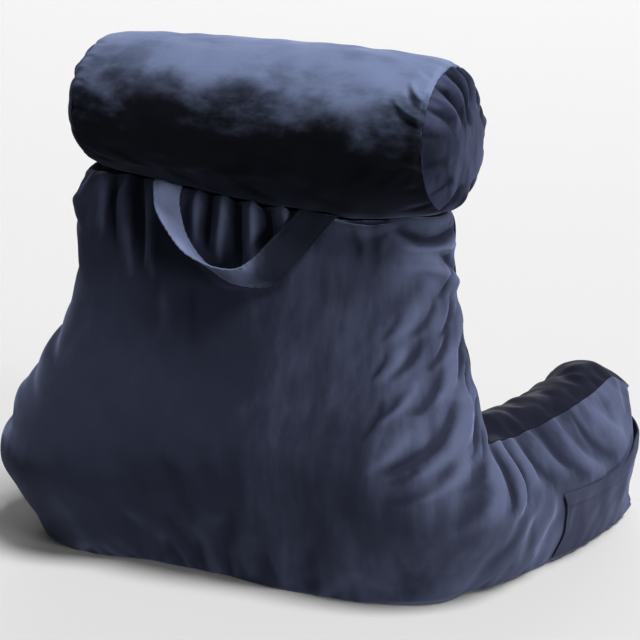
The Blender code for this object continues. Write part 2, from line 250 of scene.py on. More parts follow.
# %% Folds of the outer panel
FOLDS = (  # run and height of both ends, half width, rise (a trough below 0), bow
    # gathers that hang from the roll, left of the handle and inside its loop
    (0.208, 0.490, 0.184, 0.425, 0.0085, 0.0050, 0.004),
    (0.190, 0.490, 0.164, 0.405, 0.0080, -0.0065, 0.004),
    (0.170, 0.492, 0.142, 0.380, 0.0100, 0.0070, 0.006),
    (0.150, 0.490, 0.124, 0.400, 0.0075, -0.0075, 0.004),
    (0.130, 0.490, 0.108, 0.380, 0.0085, 0.0055, 0.002),
    (0.064, 0.488, 0.050, 0.425, 0.0080, 0.0060, 0.000),
    (0.044, 0.488, 0.034, 0.420, 0.0070, -0.0060, 0.000),
    (0.026, 0.488, 0.016, 0.405, 0.0085, 0.0070, 0.002),
    (0.006, 0.488, -0.012, 0.395, 0.0080, -0.0100, 0.003),
    (-0.014, 0.486, -0.036, 0.400, 0.0075, 0.0075, 0.002),
    (-0.030, 0.490, -0.058, 0.410, 0.0075, -0.0095, 0.004),
    (-0.050, 0.490, -0.080, 0.430, 0.0080, 0.0060, 0.004),
    (-0.090, 0.488, -0.112, 0.440, 0.0090, -0.0025, 0.003),
    (0.100, 0.400, 0.084, 0.310, 0.0140, 0.0028, 0.003),
    (0.060, 0.380, 0.050, 0.290, 0.0140, -0.0028, 0.003),
    # the crumpled corner under the roll's right end
    (-0.135, 0.474, -0.192, 0.470, 0.007, -0.0055, -0.004),
    (-0.140, 0.462, -0.200, 0.460, 0.008, 0.0045, -0.003),
    (-0.150, 0.455, -0.168, 0.425, 0.009, -0.0030, 0.002),
    (-0.178, 0.455, -0.190, 0.415, 0.010, -0.0030, 0.002),
    (-0.205, 0.478, -0.268, 0.474, 0.008, 0.0060, -0.005),
    (-0.212, 0.459, -0.276, 0.456, 0.0065, -0.0100, -0.010),
    (-0.205, 0.446, -0.272, 0.438, 0.010, 0.0080, -0.012),
    (-0.228, 0.430, -0.282, 0.404, 0.0065, -0.0080, 0.010),
    (-0.222, 0.412, -0.284, 0.386, 0.010, 0.0055, 0.008),
    (-0.235, 0.404, -0.200, 0.352, 0.010, -0.0030, 0.004),
    # slanting pull lines down the side of the back, steeper than they look from behind
    (-0.270, 0.412, -0.252, 0.378, 0.0042, -0.0050, 0.003),
    (-0.280, 0.396, -0.256, 0.342, 0.0060, 0.0045, 0.004),
    (-0.270, 0.374, -0.252, 0.334, 0.0040, -0.0068, 0.003),
    (-0.248, 0.374, -0.230, 0.336, 0.0042, -0.0048, 0.003),
    (-0.232, 0.366, -0.212, 0.326, 0.0050, 0.0038, 0.003),
    (-0.218, 0.360, -0.204, 0.330, 0.0038, -0.0034, 0.002),
    (-0.284, 0.356, -0.260, 0.304, 0.0052, 0.0048, 0.004),
    (-0.260, 0.338, -0.242, 0.298, 0.0040, -0.0066, 0.003),
    (-0.236, 0.330, -0.216, 0.288, 0.0042, -0.0056, 0.003),
    (-0.222, 0.318, -0.202, 0.280, 0.0050, 0.0044, 0.003),
    (-0.208, 0.312, -0.194, 0.284, 0.0038, -0.0036, 0.002),
    (-0.284, 0.322, -0.266, 0.282, 0.0040, -0.0060, 0.003),
    (-0.266, 0.306, -0.242, 0.260, 0.0052, 0.0052, 0.004),
    (-0.250, 0.294, -0.232, 0.250, 0.0040, -0.0070, 0.003),
    (-0.232, 0.282, -0.210, 0.238, 0.0048, 0.0044, 0.003),
    (-0.222, 0.270, -0.206, 0.240, 0.0036, -0.0042, 0.002),
    (-0.284, 0.290, -0.266, 0.250, 0.0042, -0.0052, 0.003),
    (-0.274, 0.274, -0.252, 0.226, 0.0048, 0.0052, 0.004),
    (-0.208, 0.258, -0.190, 0.218, 0.0042, -0.0046, 0.003),
    (-0.256, 0.254, -0.218, 0.184, 0.0044, -0.0095, 0.005),
    (-0.272, 0.260, -0.232, 0.182, 0.0062, 0.0062, 0.006),
    (-0.288, 0.248, -0.266, 0.206, 0.0040, -0.0058, 0.003),
    (-0.276, 0.228, -0.258, 0.190, 0.0038, -0.0044, 0.003),
    (-0.226, 0.226, -0.202, 0.182, 0.0050, 0.0040, 0.003),
    (-0.238, 0.208, -0.220, 0.172, 0.0038, -0.0044, 0.003),
    (-0.282, 0.212, -0.254, 0.162, 0.0046, -0.0052, 0.004),
    (-0.262, 0.204, -0.232, 0.154, 0.0055, 0.0044, 0.003),
    (-0.246, 0.188, -0.222, 0.148, 0.0046, -0.0040, 0.003),
    # creases fanning from the corner where back and arm meet
    (-0.294, 0.192, -0.286, 0.128, 0.0065, -0.0110, 0.004),
    (-0.306, 0.190, -0.300, 0.118, 0.0080, 0.0060, 0.003),
    (-0.316, 0.186, -0.324, 0.128, 0.0065, -0.0070, -0.003),
    (-0.276, 0.190, -0.262, 0.120, 0.0090, 0.0055, 0.004),
    (-0.264, 0.178, -0.246, 0.118, 0.0080, -0.0040, 0.004),
    (-0.330, 0.184, -0.346, 0.132, 0.0080, 0.0045, -0.004),
    # curved folds on the arm
    (-0.352, 0.180, -0.376, 0.128, 0.009, -0.0045, -0.006),
    (-0.376, 0.182, -0.420, 0.130, 0.010, 0.0050, -0.012),
    (-0.398, 0.184, -0.448, 0.118, 0.009, -0.0055, -0.014),
    (-0.430, 0.186, -0.482, 0.116, 0.011, 0.0045, -0.014),
    (-0.470, 0.190, -0.516, 0.124, 0.010, -0.0050, -0.012),
    (-0.512, 0.196, -0.556, 0.140, 0.011, 0.0035, -0.010),
    # below the corner and along the foot
    (-0.300, 0.110, -0.282, 0.050, 0.014, -0.0040, 0.004),
    (-0.330, 0.100, -0.340, 0.045, 0.014, -0.0035, -0.003),
    (-0.230, 0.060, -0.226, 0.018, 0.011, -0.0030, 0.000),
    (-0.060, 0.056, -0.064, 0.014, 0.012, -0.0030, 0.000),
    (0.080, 0.052, 0.078, 0.014, 0.012, -0.0030, 0.000),
    # the left hip and the left side of the back
    (0.262, 0.306, 0.226, 0.262, 0.010, -0.0040, 0.004),
    (0.268, 0.290, 0.222, 0.238, 0.010, 0.0045, 0.004),
    (0.268, 0.262, 0.228, 0.214, 0.009, -0.0040, 0.004),
    (0.276, 0.226, 0.236, 0.186, 0.010, 0.0040, 0.004),
    (0.282, 0.212, 0.246, 0.168, 0.009, -0.0050, 0.004),
    (0.292, 0.192, 0.286, 0.130, 0.0070, -0.0090, 0.003),
    (0.306, 0.190, 0.302, 0.120, 0.0090, 0.0055, 0.003),
    (0.318, 0.186, 0.326, 0.128, 0.0070, -0.0060, -0.003),
    (0.352, 0.180, 0.380, 0.124, 0.010, -0.0045, -0.008),
    (0.400, 0.184, 0.446, 0.122, 0.010, -0.0045, -0.012),
    (0.470, 0.190, 0.512, 0.128, 0.011, -0.0040, -0.012),
    (0.540, 0.196, 0.578, 0.144, 0.011, -0.0035, -0.010),
    (0.280, 0.400, 0.236, 0.372, 0.010, -0.0040, 0.004),
    (0.276, 0.440, 0.236, 0.430, 0.009, -0.0045, 0.004),
    (0.276, 0.466, 0.232, 0.460, 0.009, 0.0040, -0.004),
    (0.274, 0.350, 0.240, 0.326, 0.010, -0.0035, 0.004),
)
STEEP_SIDE, SLACK_SIDE = 0.72, 1.15  # shares of the half width on a fold's two sides
BLUNT = 0.06  # the share of the half sine that is cut off at each end


def stroke(across, up, row):
    """One fold's height: a bell across a bowed stroke, times the root of a half sine along it."""
    x0, y0, x1, y1, width, rise, bow = row
    along = np.array([x1 - x0, y1 - y0])
    length = math.hypot(*along)
    share = ((across - x0) * along[0] + (up - y0) * along[1]) / length**2
    near = np.clip(share, 0.0, 1.0)
    side = ((across - x0) * along[1] - (up - y0) * along[0]) / length
    side = side - bow * np.sin(math.pi * near)
    gap = np.hypot(side, (share - near) * length)
    steep = np.where(side > 0.0, STEEP_SIDE, SLACK_SIDE)
    fade = np.sqrt(np.sin(math.pi * (BLUNT + (1.0 - 2.0 * BLUNT) * near)))
    return rise * bell(gap, width * steep) * fade


def fold_height(across, up, table):
    """The sum of all the strokes in a table."""
    return sum(stroke(across, up, row) for row in table)


print(len(FOLDS), "folds in the outer panel")

# %% Folds of the inner panel
INNER_FOLDS = (  # as above; the two corners are near mirror images, as sewn ones are
    (0.262, 0.210, 0.205, 0.214, 0.009, -0.0060, 0.004),
    (0.262, 0.190, 0.200, 0.178, 0.009, 0.0050, 0.004),
    (0.258, 0.172, 0.198, 0.150, 0.009, -0.0060, 0.004),
    (0.250, 0.240, 0.196, 0.262, 0.010, -0.0050, -0.004),
    (0.244, 0.130, 0.200, 0.100, 0.011, -0.0050, 0.004),
    (-0.262, 0.210, -0.205, 0.216, 0.009, -0.0060, -0.004),
    (-0.262, 0.190, -0.200, 0.176, 0.009, 0.0050, -0.004),
    (-0.258, 0.170, -0.198, 0.148, 0.009, -0.0060, -0.004),
    (-0.250, 0.242, -0.196, 0.264, 0.010, -0.0050, 0.004),
    (-0.244, 0.128, -0.200, 0.098, 0.011, -0.0050, -0.004),
    (0.300, 0.180, 0.352, 0.140, 0.010, -0.0045, 0.004),
    (-0.300, 0.180, -0.352, 0.140, 0.010, -0.0045, -0.004),
    (0.270, 0.360, 0.216, 0.340, 0.011, -0.0035, 0.004),
    (-0.270, 0.356, -0.216, 0.336, 0.011, -0.0035, -0.004),
    (0.270, 0.450, 0.222, 0.420, 0.010, -0.0045, 0.004),
    (-0.270, 0.452, -0.222, 0.420, 0.010, -0.0045, -0.004),
    (0.120, 0.486, 0.112, 0.430, 0.011, -0.0035, 0.003),
    (0.030, 0.486, 0.026, 0.426, 0.011, -0.0030, 0.003),
    (-0.070, 0.486, -0.078, 0.430, 0.011, -0.0035, 0.003),
    (-0.150, 0.486, -0.158, 0.436, 0.011, -0.0030, 0.003),
    (0.470, 0.180, 0.500, 0.120, 0.012, -0.0035, 0.006),
    (-0.470, 0.180, -0.500, 0.120, 0.012, -0.0035, 0.006),
)
print(len(INNER_FOLDS), "folds in the inner panel")

# %% [markdown]
# ## The two big panels
#
# Each panel is one formula from run and height to a point: half the band's thickness, plus the
# crown and the slumped filling, all set off from the middle line. The folds come later, as a
# second formula on the same two measures. The stitches of a seam gather the cloth a little, so
# close to each seam there are short puckers that run square to it, made from a wave along the
# seam that fades within a thumb's width.

# %% Outer and inner panels
PUCKER_REACH, STRIP_WIDE = 0.014, 0.076
PUCKER_LONG, PUCKER_SHORT, FOOT_PUCKER = 0.026, 0.013, 0.030  # lengths of the waves
PUCKER_HIGH, FOOT_PUCKER_HIGH, RIPPLE_HIGH = 0.0012, 0.0014, 0.0012
SHORT_SHARE = 0.6  # the short waves are this much as high as the long ones
RIPPLE_LONG, RIPPLE_WIDE = 0.028, 0.035
SLOW_LUMPS = ((0.0030, 0.13), (0.0012, 0.05))  # height and size
FLAT_FOOT = 0.05  # the lumps fade below this height


def seam_puckers(run, height, seed):
    """Waves along the nearest seam and the foot, 0 on the seam and fading away from it."""
    gap = from_seam(run, height)
    to_top = np.where(np.abs(run) <= JOIN_RUN, SEAM_TOP, arm_top(run)) - height
    seam = np.where(to_top <= gap + TINY, run, height)[..., None]
    wave = lumps(seam, PUCKER_LONG, seed) + SHORT_SHARE * lumps(seam, PUCKER_SHORT, seed + 1)
    low_wave = lumps(run[..., None], FOOT_PUCKER, seed + 2)
    near = np.exp(-gap / PUCKER_REACH) * away_from(gap)
    low = np.exp(-height / PUCKER_REACH) * away_from(height)
    return PUCKER_HIGH * wave * near + FOOT_PUCKER_HIGH * low_wave * low


def strip_ripples(length, across, seed=51):
    """The same puckers along both seams of the strip, and slow lumps between them."""
    edge = np.minimum(across, STRIP_WIDE - across)
    wave = lumps(length[..., None], RIPPLE_LONG, seed) * np.exp(-edge / PUCKER_REACH)
    slow = lumps(np.stack([length, across], axis=-1), RIPPLE_WIDE, seed + 1)
    return RIPPLE_HIGH * (wave + slow) * away_from(edge)


def unevenness(run, height, seed):
    """Slow lumps of the filling, 0 along the foot so that the cushion stands flat."""
    spot = np.stack([run, height], axis=-1)
    rise = sum(high * lumps(spot, size, seed + k) for k, (high, size) in enumerate(SLOW_LUMPS))
    return rise * np.clip(height / FLAT_FOOT, 0.0, 1.0)


def outer_panel(run, height, lift=0.0):
    """The back and the arms' outer sides, or a layer this far off them."""
    half, low = half_thickness(run), foot(height)
    out = (half + CROWN * swell(run, height)) * low
    out = out + (1.0 - low) * (half + curve(FOOT_OUT, run)) + extra_fill(run, height)
    return place(run, height, out + unevenness(run, height, 21) + lift)


def inner_panel(run, height):
    """The side that the sitter leans on; the inside corners hold it back."""
    half, low = half_thickness(run), foot(height)
    pinch = 1.0 - INNER_PINCH * bell(np.abs(run) - PINCH_AT, PINCH_WIDE)
    out = (half + INNER_CROWN * pinch * swell(run, height)) * low + (1.0 - low) * half
    return place(run, height, -(out + unevenness(run, height, 41)))


def outer_folds(run, height):
    """The outer panel's folds and the puckers along its seams."""
    return fold_height(run, height, FOLDS) + seam_puckers(run, height, 11)


def inner_folds(run, height):
    """The inner panel's folds and the puckers along its seams."""
    return fold_height(run, height, INNER_FOLDS) + seam_puckers(run, height, 31)


print("middle of the back at", np.round(outer_panel(np.zeros(1), np.full(1, 0.2)), 3))

# %% [markdown]
# ## Under the neck roll
#
# The roll is heavy and presses the top of the back rest down. Its lower side is a known
# surface, so every point of the back rest that would reach into it is put just below it.

# %% The roll's own line and its underside
ROLL_AT = (-0.0245 + ORIGIN[0], -0.0235 + ORIGIN[1], 0.5730)
ROLL_TILT, ROLL_OVAL = math.tan(math.radians(2.2)), 0.965
ROLL_ROUND = 0.1  # its radius in round figures, for measures taken round it
ROLL_SAG = (
    (-0.29, -0.003), (-0.21, -0.001), (-0.14, 0.008), (-0.05, 0.004), (0.05, -0.003),
    (0.14, -0.011), (0.24, -0.013),
)
ROLL_SIDE = (  # distance from the middle, radius
    (0.0000, 0.1010), (0.0900, 0.1010), (0.1750, 0.0993), (0.2200, 0.0951), (0.2360, 0.0897),
    (0.2520, 0.0720), (0.2620, 0.0380), (0.2640, 0.0000),
)
FAR_UP, NEAR_TOP = 1.0, 0.40  # the room beside the roll, and the height where its press begins
ROLL_CLEAR = 0.004


def roll_sag(x):
    """How much lower than round the underside hangs at this place along the roll."""
    return curve(ROLL_SAG, x - ORIGIN[0])


def roll_underside(x, y):
    """Height of the roll's lower side over this spot, far up beyond its edge."""
    radius = curve(ROLL_SIDE, np.abs(x - ROLL_AT[0]))
    radius = np.where(np.abs(x - ROLL_AT[0]) < ROLL_SIDE[-1][0], radius, 0.0)
    across = np.clip(np.abs(y - ROLL_AT[1]) / np.maximum(radius, TINY), 0.0, 1.0)
    depth = radius * ROLL_OVAL * np.sqrt(1.0 - across * across) + roll_sag(x)
    middle = ROLL_AT[2] + (x - ROLL_AT[0]) * ROLL_TILT
    return np.where(across < 1.0, middle - depth, FAR_UP)


def duck_under_roll(points, clear=ROLL_CLEAR):
    """Lowers every point near the top to at least this far under the roll."""
    high = roll_underside(points[..., 0], points[..., 1]) - clear
    low = np.where(points[..., 2] > NEAR_TOP, np.minimum(points[..., 2], high), points[..., 2])
    return np.concatenate([points[..., :2], low[..., None]], axis=-1)


print("roll's underside over the middle", round(float(roll_underside(ROLL_AT[0], ROLL_AT[1])), 3))

# %% [markdown]
# ## Grids on the cloth
#
# The outline is a low band that runs round both arms, with a tower on its middle. So each half
# of a panel is two grids that share an edge. The cells are about 10 mm, and two extra rows lie
# close to every seam, where the cloth turns most. That is coarse enough to simulate quickly,
# and each cell is cut in sixteen before the folds are drawn.

# %% Grids of run and height
ARM_CORNER, TOWER_CORNER = 0.075, 0.018
SEAM_ROWS, ROW_CLEAR = (0.0030, 0.0080), 0.012
BACK_CELLS, ARM_CELLS, END_CELLS, BAND_STOPS, TOWER_STOPS = 29, 30, 9, 21, 31


def spread(stops, counts):
    """Points from stop to stop, each stretch cut into its count of equal steps."""
    parts = [np.linspace(a, b, n, endpoint=False) for a, b, n in zip(stops, stops[1:], counts)]
    return np.concatenate(parts + [[stops[-1]]])


def with_seam_rows(stops, ends, length=1.0):
    """The same stops with two more beside each end that is a seam."""
    extra = [end - np.sign(end - stops.mean()) * np.array(SEAM_ROWS) / length for end in ends]
    gap = np.abs(stops[:, None] - np.array(ends)).min(axis=1)
    kept = stops[(gap * length > ROW_CLEAR) | (gap == 0.0)]
    return np.unique(np.concatenate([kept, *extra]).round(9))


def round_corner(far, high, end, top, radius):
    """Bends a square corner of the grid round: a goes back by a (1 - root(1 - b^2 / 2)), b too."""
    a = np.clip((far - end + radius) / radius, 0.0, 1.0)
    b = np.clip((high - top + radius) / radius, 0.0, 1.0)
    far = far - radius * a * (1.0 - np.sqrt(1.0 - 0.5 * b * b))
    high = high - radius * b * (1.0 - np.sqrt(1.0 - 0.5 * a * a))
    return np.stack([far, high], axis=-1)


def outline_grids():
    """Run and height over the low band and over the tower, for one half of a panel."""
    under = with_seam_rows(spread((0.0, JOIN_RUN), (BACK_CELLS,)), (JOIN_RUN,))
    arm = spread((JOIN_RUN, ARM_END - ARM_CORNER, ARM_END), (ARM_CELLS, END_CELLS))
    runs = np.concatenate([under, with_seam_rows(arm, (ARM_END,))[1:]])
    ups = with_seam_rows(np.linspace(0.0, 1.0, BAND_STOPS), (0.0, 1.0), JOIN_HEIGHT)
    far, up = np.meshgrid(runs, ups, indexing="ij")
    top = np.where(runs <= JOIN_RUN + TINY, JOIN_HEIGHT, arm_top(runs))[:, None]
    low = round_corner(far, top * up, ARM_END, top, ARM_CORNER)
    rows = with_seam_rows(np.linspace(0.0, 1.0, TOWER_STOPS), (1.0,), SEAM_TOP - JOIN_HEIGHT)
    across, up = np.meshgrid(under / JOIN_RUN, rows, indexing="ij")
    high = JOIN_HEIGHT + (SEAM_TOP - JOIN_HEIGHT) * up
    wide = tower_half(high)
    tower = round_corner(across * wide, high, wide, SEAM_TOP, TOWER_CORNER)
    return low, tower, len(under) - 1


LOW, HIGH, INSIDE = outline_grids()
print("half panel:", LOW.shape[:2], "below and", HIGH.shape[:2], "above")

# %% [markdown]
# ## The boxing strip and the bottom
#
# Between the two panels' edges runs a boxing strip, a hand wide: up the front of each arm,
# along its top, up the side of the back and over the top. It bows outwards between its two
# seams, except in the corner where the back stands on the arm. The bottom panel is flat.

# %% Strip and bottom panel
STRIP_CROWN = 0.018
JOIN_FLAT, JOIN_REACH = 0.85, 0.030  # the crown's share that goes where back and arm meet
ACROSS = 0.5 - 0.5 * np.cos(np.linspace(0.0, math.pi, 11))  # shares, close together at seams


def mirrored_outline():
    """Run and height once round the top edge, from the foot of one arm's end to the other's."""
    half = np.concatenate([LOW[-1, :-1], LOW[:INSIDE:-1, -1], HIGH[-1, :-1], HIGH[:0:-1, -1]])
    return np.concatenate([half, HIGH[:1, -1], half[::-1] * np.array([-1.0, 1.0])])


def softened(values, times):
    """Each row moved halfway to the mean of its neighbours, this many times; the ends stay."""
    values = values.copy()
    for _ in range(times):
        values[1:-1] += 0.5 * (0.5 * (values[:-2] + values[2:]) - values[1:-1])
    return values


def laid_across(inner, outer):
    """Straight steps from the inner seam to the outer one."""
    share = ACROSS[None, :, None]
    return inner[:, None] * (1.0 - share) + outer[:, None] * share


def cloth_across(length):
    """Flat measures of a long panel: how far along it and how far across."""
    return np.stack(np.broadcast_arrays(length[:, None], STRIP_WIDE * ACROSS[None, :]), axis=-1)


def boxing_strip():
    """Straight steps from seam to seam, plus 4 s (1 - s) times the crown, square to the strip."""
    run, height = mirrored_outline().T
    outer = duck_under_roll(outer_panel(run, height))
    inner = duck_under_roll(inner_panel(run, height))
    middle = softened(0.5 * (outer + inner), times=3)
    away = np.cross(outer - inner, np.gradient(middle, axis=0))
    away = softened(away / np.linalg.norm(away, axis=1, keepdims=True), times=4)
    to_join = np.hypot(np.abs(run) - JOIN_RUN, height - JOIN_HEIGHT)
    crown = STRIP_CROWN * (1.0 - JOIN_FLAT * bell(to_join, JOIN_REACH))
    rise = crown[:, None] * 4.0 * ACROSS * (1.0 - ACROSS)
    strip = laid_across(inner, outer) + away[:, None] * rise[..., None]
    strip[[0, -1], :, 2] = 0.0
    strip[:, 1:-1] = duck_under_roll(strip[:, 1:-1])
    return strip, cloth_across(length_along(middle))


def bottom_panel(strip):
    """Straight steps between the panels' lower edges; its ends are the strip's own."""
    runs = np.concatenate([LOW[::-1, 0, 0], -LOW[1:, 0, 0]])
    outer, inner = (panel(runs, runs * 0.0) for panel in (outer_panel, inner_panel))
    bottom = laid_across(inner, outer)
    bottom[0], bottom[-1] = strip[0], strip[-1]
    return bottom, cloth_across(runs)


print("strip:", len(mirrored_outline()), "rows from one arm's foot to the other's")

# %% [markdown]
# ## From grids to one cushion
#
# The panels are laid into one mesh with their measures on the cloth as a UV map, because the
# folds are drawn on the cloth once it is filled. Doubled points along the seams are merged,
# which is what sewing does, and then all faces are turned outwards.

# %% Mesh from grids
def grid_faces(rows, cols, first=0):
    """Corner numbers of every cell of a grid of points, row by row."""
    start = (np.arange(rows - 1)[:, None] * cols + np.arange(cols - 1)).ravel() + first
    return np.stack([start, start + cols, start + cols + 1, start + 1], axis=1)


def mesh_from(name, points, faces, cloth, panel=None):
    """A mesh of four-cornered faces with its UV map, from whole arrays."""
    mesh = bpy.data.meshes.new(name)
    mesh.vertices.add(len(points))
    mesh.vertices.foreach_set("co", np.ascontiguousarray(points, np.float32).ravel())
    mesh.loops.add(faces.size)
    mesh.loops.foreach_set("vertex_index", faces.astype(np.int32).ravel())
    mesh.polygons.add(len(faces))
    mesh.polygons.foreach_set("loop_start", np.arange(0, faces.size, 4, dtype=np.int32))
    if panel is not None:
        mesh.polygons.foreach_set("material_index", panel.astype(np.int32))
    mesh.update(calc_edges=True)
    mesh.uv_layers.new(name="cloth").data.foreach_set(
        "uv", np.ascontiguousarray(cloth[faces.ravel()], np.float32).ravel()
    )
    mesh.polygons.foreach_set("use_smooth", np.ones(len(faces), bool))
    return mesh


print("cells of a 3 by 3 grid:", grid_faces(3, 3).tolist())


# %% Sewing
SEWN_WITHIN = 2e-5


def sewn(mesh, reach=SEWN_WITHIN):
    """Merges the doubled points along the seams and turns all faces outwards."""
    bm = bmesh.new()
    bm.from_mesh(mesh)
    bmesh.ops.remove_doubles(bm, verts=bm.verts, dist=reach)
    bmesh.ops.recalc_face_normals(bm, faces=bm.faces)
    bm.to_mesh(mesh)
    bm.free()
    return mesh


def piece(name, mesh, *materials):
    """An object for the mesh, in the scene, with its materials."""
    obj = bpy.data.objects.new(name, mesh)
    bpy.context.scene.collection.objects.link(obj)
    for made in materials:
        mesh.materials.append(made)
    return obj


def coordinates(mesh):
    """All points of a mesh, one row each."""
    points = np.empty(len(mesh.vertices) * 3, np.float32)
    mesh.vertices.foreach_get("co", points)
    return points.reshape(-1, 3).astype(float)


print("points within", SEWN_WITHIN * 1e3, "mm are sewn into one")

# %% The cushion's mesh
OUTER, INNER, STRIP, BOTTOM = range(4)


def body_mesh():
    """Both halves of both panels, the strip and the bottom, laid into one mesh and sewn."""
    grids = []
    for side in (1.0, -1.0):
        for grid in (LOW, HIGH):
            run, height = grid[..., 0] * side, grid[..., 1]
            cloth = np.stack([run, height], axis=-1)
            for panel, number in ((outer_panel, OUTER), (inner_panel, INNER)):
                grids.append((duck_under_roll(panel(run, height)), cloth, number))
    strip, strip_cloth = boxing_strip()
    grids.append((strip, strip_cloth, STRIP))
    grids.append((*bottom_panel(strip), BOTTOM))
    first, points, faces, cloths, panels = 0, [], [], [], []
    for grid, cloth, number in grids:
        cells = grid_faces(*grid.shape[:2], first)
        points.append(grid.reshape(-1, 3))
        cloths.append(cloth.reshape(-1, 2))
        faces.append(cells)
        panels.append(np.full(len(cells), number))
        first += len(points[-1])
    return sewn(mesh_from("cushion", *map(np.concatenate, (points, faces, cloths, panels))))


cushion_mesh = body_mesh()
print("cushion before filling:", len(cushion_mesh.vertices), "points")

# %% [markdown]
# ## Filling the cushion
#
# Blender's Cloth can blow a closed mesh up from inside. The cloth is told that it is a little
# larger than the space it has, so it rounds out between its seams as a filled cover does. The
# seams, the bottom and what another piece presses on are held still, and each point may move
# only a few millimetres, so the cushion keeps its measured shape. The narrow folds are raised
# after that, on a finer mesh, because they are smaller than the cells that are simulated.

# %% Reading a sewn mesh
def corners_of(mesh):
    """For each face corner: its point, its panel and its place on the cloth."""
    corner, cloth = np.empty(len(mesh.loops), np.int32), np.empty(2 * len(mesh.loops), np.float32)
    sides, panel = np.empty((2, len(mesh.polygons)), np.int32)
    mesh.loops.foreach_get("vertex_index", corner)
    mesh.polygons.foreach_get("loop_total", sides)
    mesh.polygons.foreach_get("material_index", panel)
    mesh.uv_layers["cloth"].data.foreach_get("uv", cloth)
    return corner, np.repeat(panel, sides), cloth.reshape(-1, 2).astype(float)


def seam_points(mesh):
    """True at each point whose faces belong to more than one panel."""
    corner, panel, _ = corners_of(mesh)
    least, most = np.full(len(mesh.vertices), BOTTOM + 1), np.full(len(mesh.vertices), -1)
    np.minimum.at(least, corner, panel)
    np.maximum.at(most, corner, panel)
    return least != most


def cloth_places(mesh):
    """Each point's panel and place on the cloth; at a seam the lowest panel number holds."""
    corner, panel, cloth = corners_of(mesh)
    order = np.argsort(-panel, kind="stable")
    panels, places = np.zeros(len(mesh.vertices), int), np.zeros((len(mesh.vertices), 2))
    panels[corner[order]], places[corner[order]] = panel[order], cloth[order]
    return panels, places


print("points on the cushion's seams:", int(seam_points(cushion_mesh).sum()))


# %% Finer meshes and raised folds
DEEP_FOLD = 0.006  # a fold this high or deep gets the most painted highlight or painted shade


def refine(obj, levels=1):
    """Every face cut in four and rounded, as many times as levels says."""
    fine = obj.modifiers.new("Subdivision", "SUBSURF")
    fine.levels = fine.render_levels = levels


def made_fine(obj, levels=2):
    """The piece's mesh refined and kept so, for folds narrower than the coarse cells."""
    refine(obj, levels)
    graph = bpy.context.evaluated_depsgraph_get()
    finer = bpy.data.meshes.new_from_object(obj.evaluated_get(graph), depsgraph=graph)
    obj.modifiers.clear()
    obj.data = finer
    return finer


def raise_by(mesh, rise):
    """Moves every point along its normal, and keeps how far as the attribute fold, -1 to 1."""
    # the velvet paints shade into troughs and sunk seams and a highlight onto ridges by this
    # attribute
    kept = mesh.attributes.new("fold", "FLOAT", "POINT")
    kept.data.foreach_set("value", np.clip(rise / DEEP_FOLD, -1.0, 1.0).astype(np.float32))
    normal = np.empty(len(mesh.vertices) * 3, np.float32)
    mesh.vertex_normals.foreach_get("vector", normal)
    points = coordinates(mesh) + rise[:, None] * normal.reshape(-1, 3)
    points[:, 2] = np.maximum(points[:, 2], 0.0)
    mesh.vertices.foreach_set("co", points.astype(np.float32).ravel())
    mesh.update()


print("folds are darkest at", DEEP_FOLD * 1e3, "mm")


# %% Cloth with pressure
def puff(obj, held, free, pressure, spare, cap, frames=20):
    """Blows a closed mesh up, with the held points fixed and the cloth grown by its spare share.

    A point keeps the share of its movement that free says, and never goes further than cap."""
    mesh = obj.data
    before = coordinates(mesh)
    pins = obj.vertex_groups.new(name="held")
    pins.add(np.flatnonzero(held).tolist(), 1.0, "REPLACE")
    cloth = obj.modifiers.new("Cloth", "CLOTH")
    weave = cloth.settings
    weave.quality, weave.mass, weave.air_damping = 5, 0.25, 2.0
    weave.tension_stiffness = weave.compression_stiffness = 25.0
    weave.shear_stiffness, weave.bending_stiffness = 10.0, 0.4
    weave.use_pressure, weave.uniform_pressure_force = True, pressure
    weave.vertex_group_mass, weave.shrink_min = "held", -spare
    weave.effector_weights.gravity = 0.0
    cloth.point_cache.frame_end = frames
    for number in range(1, frames + 1):
        bpy.context.scene.frame_set(number)
    graph = bpy.context.evaluated_depsgraph_get()
    after = coordinates(obj.evaluated_get(graph).data)
    obj.modifiers.remove(cloth)
    obj.vertex_groups.remove(pins)
    bpy.context.scene.frame_set(1)
    move = after - before
    far = np.linalg.norm(move, axis=1, keepdims=True)
    move *= free[:, None] * cap * np.tanh(far / cap) / np.maximum(far, TINY)
    mesh.vertices.foreach_set("co", (before + move).astype(np.float32).ravel())
    mesh.update()
    mean = float(np.linalg.norm(move, axis=1).mean())
    print(obj.name, "moved", round(mean * 1e3, 2), "mm on average")


print("simulated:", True)

# %% The cushion itself
SEAM_SINK = 0.0018
PRESSED, ON_FLOOR = 0.012, 0.004  # cloth this near the roll or the floor is held
POCKET_FROM, POCKET_BEHIND, POCKET_OVER = -0.30, 0.05, 0.17  # limits of x, y and z at the pocket
HANDLE_SPAN, HANDLE_OVER, EASED = 0.19, 0.34, 0.05  # |x| and z at the handle, and the easing
cushion = piece("cushion", cushion_mesh)
x, y, z = coordinates(cushion_mesh).T
under_roll = roll_underside(x, y) - z < PRESSED
behind_pocket = (x < POCKET_FROM) & (y < POCKET_BEHIND) & (z < POCKET_OVER)
held = seam_points(cushion_mesh) | under_roll | behind_pocket | (z < ON_FLOOR)
by_handle = smooth((HANDLE_SPAN - np.abs(x)) / EASED) * smooth((z - HANDLE_OVER) / EASED)
free = 1.0 - by_handle * (y > 0.0)
puff(cushion, held, free, pressure=2.0, spare=0.03, cap=0.008)
cushion_mesh = made_fine(cushion)

